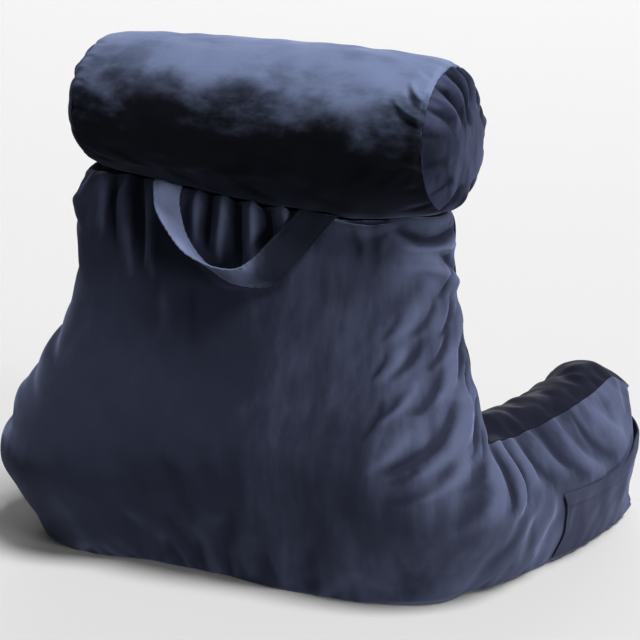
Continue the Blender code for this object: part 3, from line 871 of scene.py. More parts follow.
panels, places = cloth_places(cushion_mesh)
rise = np.zeros(len(panels))
for number, folds in ((OUTER, outer_folds), (INNER, inner_folds), (STRIP, strip_ripples)):
    here = panels == number
    rise[here] = folds(*places[here].T)
seams = seam_points(cushion_mesh)
raise_by(cushion_mesh, rise - SEAM_SINK * seams)
print("cushion:", len(panels), "points,", int(seams.sum()), "of them on seams")

# %% [markdown]
# ## The neck roll
#
# A bolster: one piece of velvet rolled up and closed at each end by a round cap. It is a
# surface of revolution, a profile carried round a line, then pressed slightly oval. The cap is
# larger than the filling needs, so its cloth folds in pleats that fan out from the seam. On
# the side, the same seam pulls short troughs into the cloth.

# %% Folds of the roll
SEAM_AT = 0.236  # distance of the end seams from the roll's middle
SIDE_FOLDS = (  # distance from the middle along the roll, turn from the top in degrees, both ends
    # seam at -X
    (-0.212, 42.0, -0.236, 56.0, 0.0045, 0.0034, 0.003),
    (-0.212, 50.0, -0.236, 63.0, 0.0042, -0.0032, 0.003),
    (-0.200, 58.0, -0.235, 69.0, 0.0042, 0.0038, 0.002),
    (-0.206, 67.0, -0.235, 75.0, 0.0042, -0.0028, 0.001),
    (-0.216, 26.0, -0.235, 32.0, 0.0060, -0.0018, 0.000),
    (-0.218, 99.0, -0.235, 101.0, 0.0050, -0.0025, 0.000),
    (-0.216, 122.0, -0.235, 120.0, 0.0060, -0.0020, 0.000),
    (-0.206, 146.0, -0.235, 140.0, 0.0070, -0.0025, 0.000),
    (-0.210, -20.0, -0.235, -14.0, 0.0070, -0.0025, 0.000),
    (-0.206, -62.0, -0.235, -54.0, 0.0070, -0.0030, 0.000),
    (-0.210, -100.0, -0.235, -96.0, 0.0070, -0.0030, 0.000),
    # seam at +X
    (0.218, 26.0, 0.235, 24.0, 0.0045, -0.0014, 0.000),
    (0.216, 44.0, 0.235, 42.0, 0.0045, -0.0020, 0.001),
    (0.218, 54.0, 0.235, 53.0, 0.0040, 0.0018, 0.000),
    (0.218, 66.0, 0.235, 65.0, 0.0045, -0.0020, 0.001),
    (0.218, 86.0, 0.235, 85.0, 0.0045, -0.0016, 0.000),
    (0.218, 104.0, 0.235, 104.0, 0.0045, -0.0014, 0.000),
    (0.212, 128.0, 0.235, 124.0, 0.0055, -0.0016, 0.000),
    (0.210, -30.0, 0.235, -24.0, 0.0060, -0.0020, 0.000),
    (0.210, -76.0, 0.235, -70.0, 0.0060, -0.0020, 0.000),
    (0.210, -120.0, 0.235, -112.0, 0.0060, -0.0020, 0.000),
    # long soft folds between the ends
    (0.120, 118.0, 0.060, 146.0, 0.0130, -0.0030, 0.006),
    (0.020, 122.0, -0.030, 148.0, 0.0140, -0.0030, 0.006),
    (-0.080, 128.0, -0.140, 146.0, 0.0130, -0.0030, 0.004),
)
CAP_PLEATS = (  # turn from the top in degrees, length inwards from the seam, half width, rise
    (-8.0, 0.050, 0.0060, -0.0050), (3.0, 0.044, 0.0055, 0.0045),
    (13.0, 0.060, 0.0060, -0.0090), (24.0, 0.056, 0.0060, 0.0060),
    (35.0, 0.054, 0.0060, -0.0095), (47.0, 0.048, 0.0060, 0.0055),
    (58.0, 0.040, 0.0055, -0.0070), (80.0, 0.028, 0.0060, -0.0025),
    (104.0, 0.032, 0.0060, -0.0030), (131.0, 0.034, 0.0060, -0.0035),
    (160.0, 0.040, 0.0060, -0.0040), (186.0, 0.034, 0.0060, 0.0030),
    (204.0, 0.040, 0.0055, -0.0045), (232.0, 0.034, 0.0060, -0.0035),
    (262.0, 0.038, 0.0060, -0.0040), (284.0, 0.034, 0.0055, 0.0030),
    (302.0, 0.044, 0.0055, -0.0050), (326.0, 0.040, 0.0055, -0.0040),
    (340.0, 0.046, 0.0050, 0.0035),
)
print(len(SIDE_FOLDS), "folds on the roll's side and", len(CAP_PLEATS), "pleats in a cap")

# %% Roll as a surface of revolution
SIDE, CAP = range(2)
SIDE_STOPS, SIDE_CELLS = (0.0, 0.93, 0.985, 1.0), (20, 2, 2)
CAP_STOPS = np.concatenate([[0.025], np.linspace(0.08, 1.0, 13)])
ROLL_LUMP, ROLL_LUMP_WIDE = 0.018, 0.14


def roll_stations():
    """Places along the profile, from the +X cap's middle to the -X one's: distance, radius."""
    flat = through(ROLL_SIDE[:5], spread(SIDE_STOPS, SIDE_CELLS))
    half = np.concatenate([flat, through(ROLL_SIDE[4:], CAP_STOPS)])
    return np.concatenate([half[::-1], half[1:] * np.array([-1.0, 1.0])])


def angle_gap(turn, at):
    """The shorter way round from one turn to another, in degrees."""
    return (turn - at + 180.0) % 360.0 - 180.0


def ring_spot(along, turn):
    """A point on a round roll, for unevenness that closes on itself."""
    angle = np.radians(turn)
    return np.stack([along, ROLL_ROUND * np.cos(angle), ROLL_ROUND * np.sin(angle)], axis=-1)


def roll_base(rounds=104):
    """The profile carried round the line, pressed oval, tilted, and sagging underneath."""
    stations = roll_stations()
    turn = np.linspace(0.0, 360.0, rounds, endpoint=False)
    along, turn = np.meshgrid(stations[:, 0], turn, indexing="ij")
    radius = np.broadcast_to(stations[:, 1:], along.shape)
    radius = radius * (1.0 + ROLL_LUMP * lumps(ring_spot(along, turn), ROLL_LUMP_WIDE, 62))
    up, back = np.cos(np.radians(turn)), np.sin(np.radians(turn))
    low = np.clip(-up * radius / ROLL_SIDE[0][1], 0.0, 1.0)
    x, y = ROLL_AT[0] + along, ROLL_AT[1] + radius * back
    z = ROLL_AT[2] + radius * up * ROLL_OVAL + along * ROLL_TILT - roll_sag(x) * low
    cloth = np.stack([along, turn], axis=-1)
    return np.stack([x, y, z], axis=-1), cloth, np.abs(along) <= SEAM_AT


def round_faces(rows, cols):
    """Cells of a grid whose last column joins its first."""
    start = (np.arange(rows - 1)[:, None] * cols + np.arange(cols)).ravel()
    step = np.where(start % cols == cols - 1, 1 - cols, 1)
    return np.stack([start, start + step, start + step + cols, start + cols], axis=1)


print("roll's profile:", len(roll_stations()), "places")

# %% Folds on the roll's side and caps
END_RIPPLE, END_RIPPLE_WIDE, END_REACH = 0.0011, 0.024, 0.016
SOFT_RIPPLE, SOFT_RIPPLE_WIDE = 0.0008, 0.045
APART = 0.3  # the two ends' ripples are read this far apart, so that they differ
FLAT_CAP = 0.35
PLEAT_CUT, PLEAT_POWER = 0.04, 0.6  # cut off the half sine at the seam, and what it is raised to
PLEAT_NARROW, PLEAT_WIDEN = 0.55, 0.9  # shares of the half width: at the seam, and gained inwards


def side_folds(along, turn):
    """Troughs and ridges that run into the seams, and a ripple beside each seam."""
    total = np.zeros_like(along)
    for x0, turn0, x1, turn1, width, rise, bow in SIDE_FOLDS:
        middle = 0.5 * (turn0 + turn1)
        ends = np.radians([turn0 - middle, turn1 - middle]) * ROLL_ROUND
        up = np.radians(angle_gap(turn, middle)) * ROLL_ROUND
        total += stroke(along, up, (x0, ends[0], x1, ends[1], width, rise, bow))
    gap = np.maximum(SEAM_AT - np.abs(along), 0.0)
    around = ring_spot(APART * np.sign(along), turn)
    ripple = END_RIPPLE * lumps(around, END_RIPPLE_WIDE, 61) * np.exp(-gap / END_REACH)
    soft = SOFT_RIPPLE * lumps(ring_spot(along, turn), SOFT_RIPPLE_WIDE, 63)
    return total + ripple * away_from(gap) + soft


def cap_pleats(along, turn):
    """Pleats that fan in from the seam, widening and fading; the +X cap is pulled flatter."""
    radius = curve(ROLL_SIDE[4:], np.abs(along))
    inward = np.maximum(ROLL_SIDE[4][1] - radius, 0.0)
    total = np.zeros_like(along)
    for at, length, width, rise in CAP_PLEATS:
        share = np.clip(inward / length, 0.0, 1.0)
        fade = np.sin(math.pi * (PLEAT_CUT + (1.0 - PLEAT_CUT) * share)).clip(0.0) ** PLEAT_POWER
        arc = np.radians(angle_gap(turn, at)) * radius
        total += rise * bell(arc, width * (PLEAT_NARROW + PLEAT_WIDEN * share)) * fade
    return total * np.where(along > 0.0, FLAT_CAP, 1.0)


print("deepest pleat", min(row[-1] for row in CAP_PLEATS) * 1e3, "mm")

# %% The roll itself
ROLL_LOW = 0.52  # what lies lower rests on the cushion and is held
CAP_FREE, ROLL_SEAM_SINK = 0.25, 0.0020
roll_points, roll_cloth, on_side = roll_base()
for end in (0, -1):
    roll_points[end] = roll_points[end].mean(axis=0)
rows, cols = on_side.shape
roll_panel = np.repeat(np.where(on_side[:-1, 0] & on_side[1:, 0], SIDE, CAP), cols)
roll_mesh = sewn(mesh_from("roll", roll_points.reshape(-1, 3), round_faces(rows, cols),
                           roll_cloth.reshape(-1, 2), roll_panel))
roll = piece("roll", roll_mesh)
x, _, z = coordinates(roll_mesh).T
free = np.where(np.abs(x - ROLL_AT[0]) > SEAM_AT, CAP_FREE, 1.0)
held = seam_points(roll_mesh) | (z < ROLL_LOW)
puff(roll, held, free, pressure=2.0, spare=0.03, cap=0.004)
roll_mesh = made_fine(roll)

panels, _ = cloth_places(roll_mesh)
along, beside, above = (coordinates(roll_mesh) - np.array(ROLL_AT)).T
turn = np.degrees(np.arctan2(beside, above - along * ROLL_TILT))
rise = np.where(panels == SIDE, side_folds(along, turn), cap_pleats(along, turn))
raise_by(roll_mesh, rise - ROLL_SEAM_SINK * seam_points(roll_mesh))
print("roll:", len(panels), "points")

# %% [markdown]
# ## The carry handle
#
# A strap of doubled velvet, topstitched near both edges, whose ends are sewn in under the
# roll. It is limp, so it hangs in a loop: one leg shows its face and the other its edge. The
# middle line is a smooth curve on the cloth of the back with a distance off it, and the
# strap's face turns about that line as it goes.

# %% Handle
HANDLE = (  # run, height, distance off the back, turn of the face in degrees
    (0.101, 0.508, 0.004, 172), (0.096, 0.493, 0.022, 118), (0.088, 0.471, 0.024, 102),
    (0.072, 0.448, 0.025, 89), (0.051, 0.426, 0.026, 81), (0.028, 0.409, 0.026, 71),
    (0.002, 0.397, 0.025, 60), (-0.029, 0.393, 0.020, 48), (-0.053, 0.402, 0.013, 26),
    (-0.076, 0.427, 0.009, 11), (-0.099, 0.456, 0.006, 4), (-0.120, 0.486, 0.0032, 0),
)
HANDLE_WIDTH, HANDLE_THICK = 0.046, 0.0030
STITCH_INSET, STITCH_DEEP, STITCH_WIDE = 0.0042, 0.0007, 0.0013
TUCK_HIGH, TUCK_LONG, TUCK_WIDE = 0.0006, 0.009, 0.003  # the pulled edge outside the stitches
LIMP_HIGH, LIMP_WIDE = 0.0012, 0.05  # the strap's slow waves
THIN_EDGE, THIN_POWER = 0.45, 6  # share of the thickness lost at the edges, and how suddenly
STRAP_CLEAR = 0.0008
UNDER_PLACE = 0.08  # the underside lies this far beside the upper one on the cloth map


def strap_surface(table, width, thick, along=150, across=21):
    """Both faces of a strap: its middle surface, plus and minus half its thickness along the
    normal. The half thickness falls off near the edges and by a bell at each row of stitches."""
    run, height, lift, turn = through(table, np.linspace(0.0, 1.0, along + 1)).T
    step = np.stack([np.gradient(run), np.gradient(height)], axis=-1)
    step /= np.linalg.norm(step, axis=1, keepdims=True)
    turn = np.radians(turn)[:, None]
    over = np.sin(np.linspace(-0.5, 0.5, across) * math.pi)
    spot = over * 0.5 * (width - thick)
    flat, stand = spot * np.cos(turn), spot * np.sin(turn)
    beside, above = run[:, None] + step[:, 1:] * flat, height[:, None] - step[:, :1] * flat
    middle = outer_panel(beside, above, lift[:, None] + stand)
    normal = np.cross(np.gradient(middle, axis=0), np.gradient(middle, axis=1))
    normal /= np.linalg.norm(normal, axis=-1, keepdims=True)
    length = length_along(middle[:, across // 2])[:, None]
    cloth = np.stack(np.broadcast_arrays(length, spot[None, :]), axis=-1)
    edge = 0.5 * (width - thick) - np.abs(spot)[None, :]
    body = 0.5 * thick * (1.0 - THIN_EDGE * np.abs(over[None, :]) ** THIN_POWER)
    groove = STITCH_DEEP * bell(edge - STITCH_INSET, STITCH_WIDE)
    tuck = TUCK_HIGH * lumps(length[..., None], TUCK_LONG, 71)
    tuck = (tuck * bell(edge - 0.5 * STITCH_INSET, TUCK_WIDE))[..., None]
    middle = middle + normal * LIMP_HIGH * lumps(cloth, LIMP_WIDE, 72)[..., None]
    half = (body - groove)[..., None]
    return middle + normal * (half + tuck), middle - normal * (half - tuck), cloth


def closed_strap(upper, under, cloth):
    """A ring of points per step, over one face and back under the other, with both ends shut."""
    ring = np.concatenate([upper, under[:, ::-1]], axis=1)
    sheet = np.concatenate([cloth, cloth[:, ::-1] + np.array([0.0, UNDER_PLACE])], axis=1)
    rows, cols = ring.shape[:2]
    faces = round_faces(rows, cols)[:, ::-1]
    half = np.arange(cols // 2 - 1)
    lid = np.stack([half, half + 1, cols - 2 - half, cols - 1 - half], axis=1)
    last = lid[:, ::-1] + (rows - 1) * cols
    return ring.reshape(-1, 3), np.concatenate([faces, lid, last]), sheet.reshape(-1, 2)


*strap_faces, strap_cloth = strap_surface(HANDLE, HANDLE_WIDTH, HANDLE_THICK)
upper, under = (duck_under_roll(face, STRAP_CLEAR) for face in strap_faces)
handle = piece("handle", sewn(mesh_from("handle_strap", *closed_strap(upper, under, strap_cloth))))
refine(handle)

# %% [markdown]
# ## The pocket
#
# A patch of velvet on the outside of the -X arm, sewn down at its rear and front edges and at
# the foot, with a hem along its open mouth. It follows the arm, and its mouth stands a little
# off it, which makes the dark line there.

# %% Pocket
POCKET_REAR = ((0.008, 0.414), (0.050, 0.412), (0.080, 0.403), (0.110, 0.391))  # height, run
POCKET_MOUTH = ((0.391, 0.110), (0.463, 0.105), (0.528, 0.112), (0.583, 0.131), (0.668, 0.147))
POCKET_FOOT, POCKET_THICK, POCKET_GAP, POCKET_LOOSE = 0.008, 0.0016, 0.0018, 0.0052
POCKET_END, POCKET_FLAT = ARM_END - 0.002, (0.140, 0.280)
LOOSE_POWER = 0.7
HEM, HEM_HIGH, HEM_STITCH, HEM_STITCH_WIDE = 0.020, 0.0009, 0.0008, 0.0016
HEM_EDGE = 0.001  # half the width over which the hem's step rises
EDGE_STITCH, EDGE_INSET, EDGE_STITCH_WIDE = 0.0007, 0.0035, 0.0015
POCKET_FOLDS = (  # run and height of both ends, half width, rise, bow
    (0.418, 0.100, 0.424, 0.052, 0.0050, -0.0018, 0.002),
    (0.436, 0.098, 0.450, 0.050, 0.0120, 0.0026, 0.004),
    (0.470, 0.096, 0.500, 0.040, 0.0140, -0.0022, 0.006),
    (0.540, 0.104, 0.560, 0.046, 0.0150, 0.0022, 0.006),
    (0.600, 0.116, 0.612, 0.050, 0.0140, -0.0020, 0.004),
)


def pocket_spots(along=96, up=44):
    """Run and height over the patch: its rear edge leans and its mouth rises to the front."""
    shares = np.linspace(0.0, 1.0, along + 1), np.linspace(0.0, 1.0, up + 1)
    u, v = np.meshgrid(*shares, indexing="ij")
    height = POCKET_FOOT + v * (POCKET_MOUTH[0][1] - POCKET_FOOT)
    for _ in range(4):  # the rear edge depends on the height, and the mouth on the run
        rear = curve(POCKET_REAR, height)
        run = rear + (POCKET_END - rear) * u
        height = POCKET_FOOT + v * (curve(POCKET_MOUTH, run) - POCKET_FOOT)
    return u, v, run, height


def pocket_faces_at(u, v, run, height):
    """How far off the arm's own surface the patch's two faces lie.

    The inner one is a gap plus a half sine along the patch, raised to LOOSE_POWER, times the
    share of the way up, cubed, and it follows the arm's folds and a few of the patch's own.
    The outer one adds the cloth, a step for the hem and a bell-shaped trough for each seam."""
    bulge = np.sin(math.pi * u)
    inner = POCKET_GAP + POCKET_LOOSE * bulge**LOOSE_POWER * v**3
    inner = inner + fold_height(run, height, POCKET_FOLDS) * np.sqrt(bulge)
    inner = inner + outer_folds(-run, height)
    below_mouth = (1.0 - v) * (curve(POCKET_MOUTH, run) - POCKET_FOOT)
    hem = HEM_HIGH * (1.0 - smooth((below_mouth - HEM + HEM_EDGE) / (2.0 * HEM_EDGE)))
    hem = hem - HEM_STITCH * bell(below_mouth - HEM, HEM_STITCH_WIDE)
    to_edges = (run - curve(POCKET_REAR, height), POCKET_END - run, height - POCKET_FOOT)
    sewn_down = EDGE_STITCH * bell(np.minimum.reduce(to_edges) - EDGE_INSET, EDGE_STITCH_WIDE)
    return inner, inner + POCKET_THICK + hem - sewn_down


def rim_of(rows, cols):
    """Numbers of the points once round the border of a grid."""
    first, last = np.arange(rows) * cols, (rows - 1) * cols + np.arange(1, cols)
    back = np.arange(rows - 1)[::-1] * cols + cols - 1
    return np.concatenate([first, last, back, np.arange(1, cols - 1)[::-1]])


def pocket_mesh():
    """Both faces of the patch as grids, and a row of faces round their border."""
    u, v, run, height = pocket_spots()
    faces_at = pocket_faces_at(u, v, run, height)
    points = [outer_panel(-run, height, lift).reshape(-1, 3) for lift in faces_at]
    rows, cols = run.shape
    cells, rim, below = grid_faces(rows, cols), rim_of(rows, cols), rows * cols
    border = np.stack([rim, np.roll(rim, -1), np.roll(rim, -1) + below, rim + below], axis=1)
    cloth = np.stack([run, height], axis=-1).reshape(-1, 2)
    print("pocket:", round(float(np.ptp(run)), 3), "m long")
    return sewn(mesh_from("pocket_patch", np.concatenate(points),
                          np.concatenate([cells[:, ::-1], cells + below, border]),
                          np.concatenate([cloth, cloth])))


pocket = piece("pocket", pocket_mesh())
refine(pocket)

# %% [markdown]
# ## Velvet
#
# Velvet is a short standing pile. Seen along the pile it is nearly black, and seen against it
# the fibre tips shine, so it gets a deep base colour with a bright sheen on top. Hands brush
# the pile this way and that, which leaves soft blotches with torn edges. They aren't stains:
# the light falls on fibres that lean another way. So the material leans its normal along the
# way the pile is combed, by an amount that two noises change, and mixes two colours. Light and
# shade are painted into that mix as well: painted shade on the +X side of the cushion, less of
# it at the top; a painted highlight on the roll's top and painted shade on its underside;
# painted light on the strap's +X leg and painted shade on its other leg; and on the cushion,
# painted light on what faces down and painted shade on what faces up. Their edges are torn by
# the same noises. The attribute fold paints shade into the troughs of folds and sunk seams,
# and a painted highlight onto their ridges. A fine noise gives the grain.

# %% Node maker
SHEEN_TINT, SHEEN_ROUGH, GLOSS = (0.50, 0.58, 0.95), 0.42, 0.02
MATT, LESS_MATT = 0.90, 0.66
PATCH_SHARE, NAP_FROM, NAP_TO = 0.76, 0.34, 0.66
STREAK_SCALE, GRAIN_SCALE = 42.0, 700.0  # the larger, the finer
PATCH_LONG = 0.3  # patches are drawn out too, but less than the streaks
SIDE_SHADE_FROM, SIDE_SHADE_TO, SIDE_SHADE_WAVER = -0.03, 0.25, 0.30  # x where the painted shade of one side starts and ends, and how much its edge wavers
TOP_FROM, TOP_TO = 0.39, 0.47  # heights between which the painted side shade changes at the top
DOWN_STREAKS, ROUND_STREAKS = (1.0, 1.0, 0.16), (0.42, 1.0, 1.0)
RUFFLE, PILE, PILE_SHARE = 0.0005, 0.0003, 0.30


class Maker:
    """Makes and joins the nodes of one material; all its noises start from one seed."""

    def __init__(self, tree, seed):
        """Keeps the tree, where the seed puts the noises, and the pillow's own coordinates."""
        self.tree = tree
        self.start = (seed * 1.7, seed * 0.9, seed * 2.3)
        self.spot = tree.nodes.new("ShaderNodeTexCoord")

    def join(self, value, socket):
        """Links another node's output into the socket, or sets it where the value is a number."""
        if isinstance(value, bpy.types.NodeSocket):
            self.tree.links.new(value, socket)
        else:
            socket.default_value = value

    def node(self, kind, **inputs):
        """A new node with its sockets filled; _ stands for a space in a socket's name."""
        made = self.tree.nodes.new(kind)
        for key, value in inputs.items():
            self.join(value, made.inputs[key.replace("_", " ")])
        return made

    def maths(self, kind, *values, vector=False):
        """One step of arithmetic on numbers, or on vectors."""
        made = self.tree.nodes.new("ShaderNodeVectorMath" if vector else "ShaderNodeMath")
        made.operation = kind
        for value, socket in zip(values, made.inputs):
            self.join(value, socket)
        return made.outputs["Value" if kind == "DOT_PRODUCT" else 0]

    def ranged(self, value, low, high, out_low=0.0, out_high=1.0, kind="SMOOTHSTEP"):
        """The stretch from low to high made out_low to out_high, eased unless kind says LINEAR."""
        made = self.node("ShaderNodeMapRange", Value=value, From_Min=low, From_Max=high,
                         To_Min=out_low, To_Max=out_high)
        made.interpolation_type = kind
        return made.outputs["Result"]

    def noise(self, scale, detail, rough, distortion=0.0, stretch=(1.0, 1.0, 1.0)):
        """A noise on Object coordinates, drawn out along an axis whose stretch is small."""
        shift = self.node("ShaderNodeMapping", Vector=self.spot.outputs["Object"],
                          Location=self.start, Scale=stretch)
        made = self.node("ShaderNodeTexNoise", Vector=shift.outputs["Vector"], Scale=scale,
                         Detail=detail, Roughness=rough, Distortion=distortion)
        return made.outputs["Fac"]


print("node maker:", [name for name in vars(Maker) if not name.startswith("_")])


# %% Brushed nap
def nap_noises(maker, patch, along):
    """Broad torn patches, fine streaks, and the nap: both added by their shares and sharpened."""
    drawn = tuple(PATCH_LONG + (1.0 - PATCH_LONG) * share for share in along)
    patches = maker.noise(patch, detail=5.0, rough=0.58, distortion=0.15, stretch=drawn)
    streaks = maker.noise(STREAK_SCALE, detail=4.0, rough=0.60, distortion=0.10, stretch=along)
    both = maker.maths("ADD", maker.maths("MULTIPLY", patches, PATCH_SHARE),
                       maker.maths("MULTIPLY", streaks, 1.0 - PATCH_SHARE))
    return patches, streaks, maker.ranged(both, NAP_FROM, NAP_TO)


def facing_up(maker, rolled):
    """The z part of the surface's normal, or on the roll the height over its tilted line."""
    # the velvet paints light and shade by this: the roll bright on top and dark below, and on the
    # cushion what faces down a little lighter
    if not rolled:
        normal = maker.spot.outputs["Normal"]
        return maker.maths("DOT_PRODUCT", normal, (0.0, 0.0, 1.0), vector=True)
    at = maker.node("ShaderNodeSeparateXYZ", Vector=maker.spot.outputs["Object"])
    above = maker.maths("ADD", at.outputs["Z"], -ROLL_AT[2])
    tilt = maker.maths("MULTIPLY", at.outputs["X"], -ROLL_TILT / ROLL_ROUND)
    return maker.maths("ADD", maker.maths("MULTIPLY", above, 1.0 / ROLL_ROUND), tilt)


def shaded_side(maker, patches, side_shade, top):
    """Minus the amount on the +X side, 0 on the other, with a wavering edge and less at the top."""
    # painted shade on the +X side, which the suns leave dim; an amount below 0 paints light there
    at = maker.node("ShaderNodeSeparateXYZ", Vector=maker.spot.outputs["Object"])
    ragged = maker.maths("ADD", at.outputs["X"], maker.maths("MULTIPLY", patches, SIDE_SHADE_WAVER))
    shaded = maker.maths("MULTIPLY", maker.ranged(ragged, SIDE_SHADE_FROM, SIDE_SHADE_TO), -side_shade)
    return maker.maths("MULTIPLY", shaded, maker.ranged(at.outputs["Z"], TOP_FROM, TOP_TO, 1.0, top))


def leaned_normal(maker, nap, streaks, lean, brush, rolled):
    """n + k d made one long again, where d is the way the pile is combed and k its lean, then
    roughened by the streaks and by a fine grain."""
    normal = maker.node("ShaderNodeNewGeometry").outputs["Normal"]
    combed = (0.0, 0.0, -1.0)
    if rolled:
        combed = maker.maths("CROSS_PRODUCT", normal, (1.0, 0.0, 0.0), vector=True)
    amount = maker.ranged(nap, 0.0, 1.0, lean + brush, lean - brush, "LINEAR")
    leaning = maker.maths("MULTIPLY", combed, amount, vector=True)
    turned = maker.maths("NORMALIZE", maker.maths("ADD", normal, leaning, vector=True), vector=True)
    ruffled = maker.node("ShaderNodeBump", Strength=1.0, Distance=RUFFLE, Height=streaks,
                         Normal=turned)
    pile = maker.node("ShaderNodeBump", Strength=PILE_SHARE, Distance=PILE,
                      Height=maker.noise(GRAIN_SCALE, detail=2.0, rough=0.5),
                      Normal=ruffled.outputs["Normal"])
    return pile.outputs["Normal"]


print("patches have a share of", PATCH_SHARE, "in the nap, streaks the rest")


# %% Velvet material
def velvet(name, deep, bright, seed, sheen, lean=0.0, brush=0.06, facing_shade=0.0, patch=5.0,
           along=DOWN_STREAKS, side_shade=0.0, top=1.0, tear=0.5, fold_shade=0.0, edge=(-0.50, 0.50),
           rolled=False):
    """Two mixed colours and a leaning pile.

    The bright colour's share rises from 0 to 1 while a sum goes from the first number of edge
    to the second. The sum is crest times how much the piece faces up, or on the roll how high
    the point is, which paints light and shade by facing; sweep taken off the +X side of the
    pillow, painted shade there, or painted light where it is below 0; crush times the height of
    the folds, painted shade in troughs and a painted highlight on ridges; and tear times the
    nap. The normal leans by lean, with brush more or less from patch to patch. Streaks run the
    way of the smallest number in along."""
    made = bpy.data.materials.new(name)
    made.use_nodes = True
    maker = Maker(made.node_tree, seed)
    patches, streaks, nap = nap_noises(maker, patch, along)
    fold = maker.node("ShaderNodeAttribute")
    fold.attribute_name = "fold"
    # the sum of painted light and shade: by facing, on the +X side, and in the folds
    stands = maker.maths("ADD", maker.maths("MULTIPLY", facing_up(maker, rolled), facing_shade),
                         shaded_side(maker, patches, side_shade, top))
    stands = maker.maths("ADD", stands, maker.maths("MULTIPLY", fold.outputs["Fac"], fold_shade))
    torn = maker.maths("MULTIPLY", maker.maths("SUBTRACT", nap, 0.5), tear)
    mixed = maker.tree.nodes.new("ShaderNodeMix")
    mixed.data_type = "RGBA"
    mixed.inputs["A"].default_value = (*deep, 1.0)
    mixed.inputs["B"].default_value = (*bright, 1.0)
    maker.join(maker.ranged(maker.maths("ADD", stands, torn), *edge), mixed.inputs["Factor"])

    shader = maker.tree.nodes["Principled BSDF"]
    maker.join(mixed.outputs["Result"], shader.inputs["Base Color"])
    maker.join(maker.ranged(nap, 0.0, 1.0, MATT, LESS_MATT), shader.inputs["Roughness"])
    maker.join(leaned_normal(maker, nap, streaks, lean, brush, rolled), shader.inputs["Normal"])
    shader.inputs["Sheen Weight"].default_value = sheen
    shader.inputs["Sheen Roughness"].default_value = SHEEN_ROUGH
    shader.inputs["Sheen Tint"].default_value = (*SHEEN_TINT, 1.0)
    shader.inputs["Specular IOR Level"].default_value = GLOSS
    return made


# %% One velvet for each kind of panel
# painted shade on the +X side, less at the top, painted light on what faces down and shade on what
# faces up, and painted shade and highlight in the folds
velvet_panel = velvet(
    "velvet_panel", (0.0060, 0.0070, 0.0130), (0.0275, 0.0325, 0.0560), seed=1.0, sheen=0.20,
    brush=0.14, facing_shade=-0.14, patch=4.5, side_shade=0.55, top=0.2, tear=0.7, fold_shade=0.64,
)
velvet_strip = velvet(
    "velvet_strip", (0.0022, 0.0024, 0.0048), (0.0042, 0.0044, 0.0088), seed=2.0, sheen=0.02,
    lean=0.30, brush=0.10,
)
# painted highlight on the roll's top and painted shade, nearly black, on its underside, with a
# little painted shade in its folds
velvet_roll = velvet(
    "velvet_roll", (0.0014, 0.0015, 0.0023), (0.053, 0.066, 0.112), seed=3.0, sheen=0.06,
    brush=0.10, facing_shade=1.0, patch=15.0, along=ROUND_STREAKS, tear=0.55, fold_shade=0.10,
    edge=(-0.02, 1.02), rolled=True,
)
# painted shade in the troughs of the cap's pleats and a painted highlight on their ridges
velvet_cap = velvet(
    "velvet_cap", (0.0035, 0.0042, 0.0080), (0.0165, 0.0190, 0.0365), seed=4.0, sheen=0.08,
    lean=0.05, brush=0.10, patch=18.0, tear=0.9, fold_shade=0.6,
)
# painted light on the strap's +X leg and painted shade on its -X leg, where the roll's shadow falls
velvet_strap = velvet(
    "velvet_strap", (0.005, 0.006, 0.010), (0.060, 0.071, 0.120), seed=5.0, sheen=0.12,
    side_shade=-0.90, edge=(0.15, 1.20),
)
velvet_pocket = velvet(
    "velvet_pocket", (0.010, 0.011, 0.020), (0.014, 0.015, 0.026), seed=6.0, sheen=0.10,
)
for mesh, velvets in (
    (cushion_mesh, (velvet_panel, velvet_panel, velvet_strip, velvet_strip)),
    (roll_mesh, (velvet_roll, velvet_cap)), (handle.data, (velvet_strap,)),
    (pocket.data, (velvet_pocket,)),
):
    for made in velvets:
        mesh.materials.append(made)
print("velvets:", [m.name for m in bpy.data.materials if m.name.startswith("velvet")])

# %% [markdown]
# ## What each piece stands for
#
# Each soft piece replaces its node of the frame: it is hung under the frame's root, and the
# frame's own piece is hidden.

# %% Replacing the frame's pieces
for obj, stands_for, finish in (
    (cushion, "cushion_body", "navy_velvet"), (roll, "neck_roll", "navy_velvet_roll"),
    (handle, "carry_handle", "navy_velvet_strap"), (pocket, "arm_pocket", "navy_velvet_pocket"),
):
    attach(obj, "root")
    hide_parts(stands_for)

# %% [markdown]
# ## Floor, light and camera
#
# The floor is plain and pale. Three wide soft suns light the pillow: the strongest stands high
# on the -X side and lights the roll's top, a low one grazes the same side of the back, and a
# faint one in front keeps the seat side from going black. The +X side falls away.

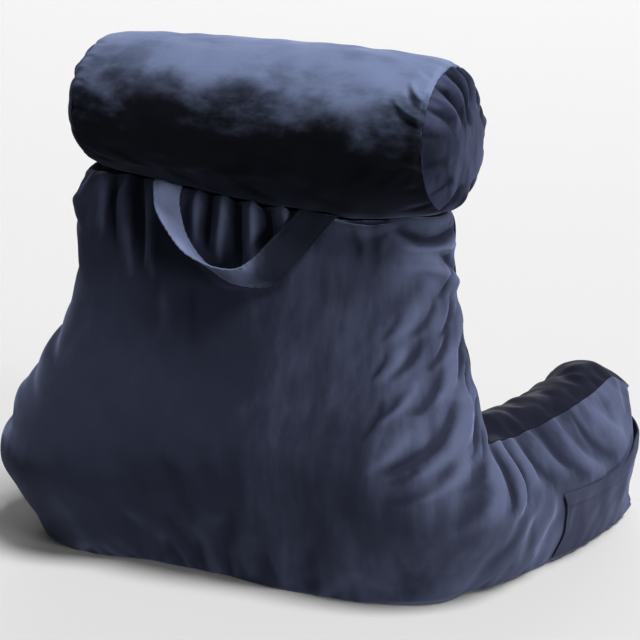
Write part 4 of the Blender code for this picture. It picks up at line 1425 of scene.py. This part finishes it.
# %% Floor and sky
FLOOR_HALF, FLOOR_LOW, FLOOR_GREY, SKY = 30.0, -0.0005, 0.22, 0.28
corners = np.array([(-1, -1), (1, -1), (1, 1), (-1, 1)], float)
floor_points = np.column_stack([corners * FLOOR_HALF, np.full(4, FLOOR_LOW)])
floor_mesh = mesh_from("floor", floor_points, np.array([[0, 1, 2, 3]]), corners)
pale = bpy.data.materials.new("pale_floor")
pale.use_nodes = True
paint = pale.node_tree.nodes["Principled BSDF"]
paint.inputs["Base Color"].default_value = (FLOOR_GREY, FLOOR_GREY, FLOOR_GREY, 1.0)
paint.inputs["Roughness"].default_value = 0.9
floor = piece("floor", floor_mesh, pale)

sky = bpy.data.worlds.new("studio")
sky.use_nodes = True
sky.node_tree.nodes["Background"].inputs["Color"].default_value = (1.0, 1.0, 1.0, 1.0)
sky.node_tree.nodes["Background"].inputs["Strength"].default_value = SKY
bpy.context.scene.world = sky
print("floor", 2.0 * FLOOR_HALF, "m wide, sky", SKY)


# %% Suns
def sun(name, towards, strength, width):
    """A far soft light that shines from the given direction, this many degrees wide."""
    lamp = bpy.data.lights.new(name, "SUN")
    lamp.energy, lamp.angle = strength, math.radians(width)
    obj = bpy.data.objects.new(name, lamp)
    obj.rotation_mode = "QUATERNION"
    obj.rotation_quaternion = Vector(towards).to_track_quat("Z", "Y")
    bpy.context.scene.collection.objects.link(obj)


sun("key", (-0.42, 0.12, 0.90), 9.6, 25.0)
sun("low_side", (-0.94, 0.28, 0.12), 5.9, 20.0)
sun("front", (0.30, -0.92, 0.22), 2.8, 50.0)
print("suns:", len(bpy.data.lights))

# %% Camera
TARGET = Vector((ORIGIN[0] - 0.1009, ORIGIN[1], 0.3350))
AZIMUTH, ELEVATION, DISTANCE = math.radians(206.09), math.radians(13.67), 2.2
SENSOR, FOCAL_PIXELS, FRAME_PIXELS = 36.0, 1779.8, 640.0
lens = bpy.data.cameras.new("camera")
lens.sensor_width, lens.lens = SENSOR, SENSOR * FOCAL_PIXELS / FRAME_PIXELS
camera = bpy.data.objects.new("camera", lens)
level = math.cos(ELEVATION)
back = Vector((math.sin(AZIMUTH) * level, -math.cos(AZIMUTH) * level, math.sin(ELEVATION)))
camera.location = TARGET + back * DISTANCE
camera.rotation_mode = "QUATERNION"
camera.rotation_quaternion = back.to_track_quat("Z", "Y")
bpy.context.scene.collection.objects.link(camera)
bpy.context.scene.camera = camera
bpy.context.scene.view_settings.view_transform = "Standard"
print("lens", round(lens.lens, 1), "mm")
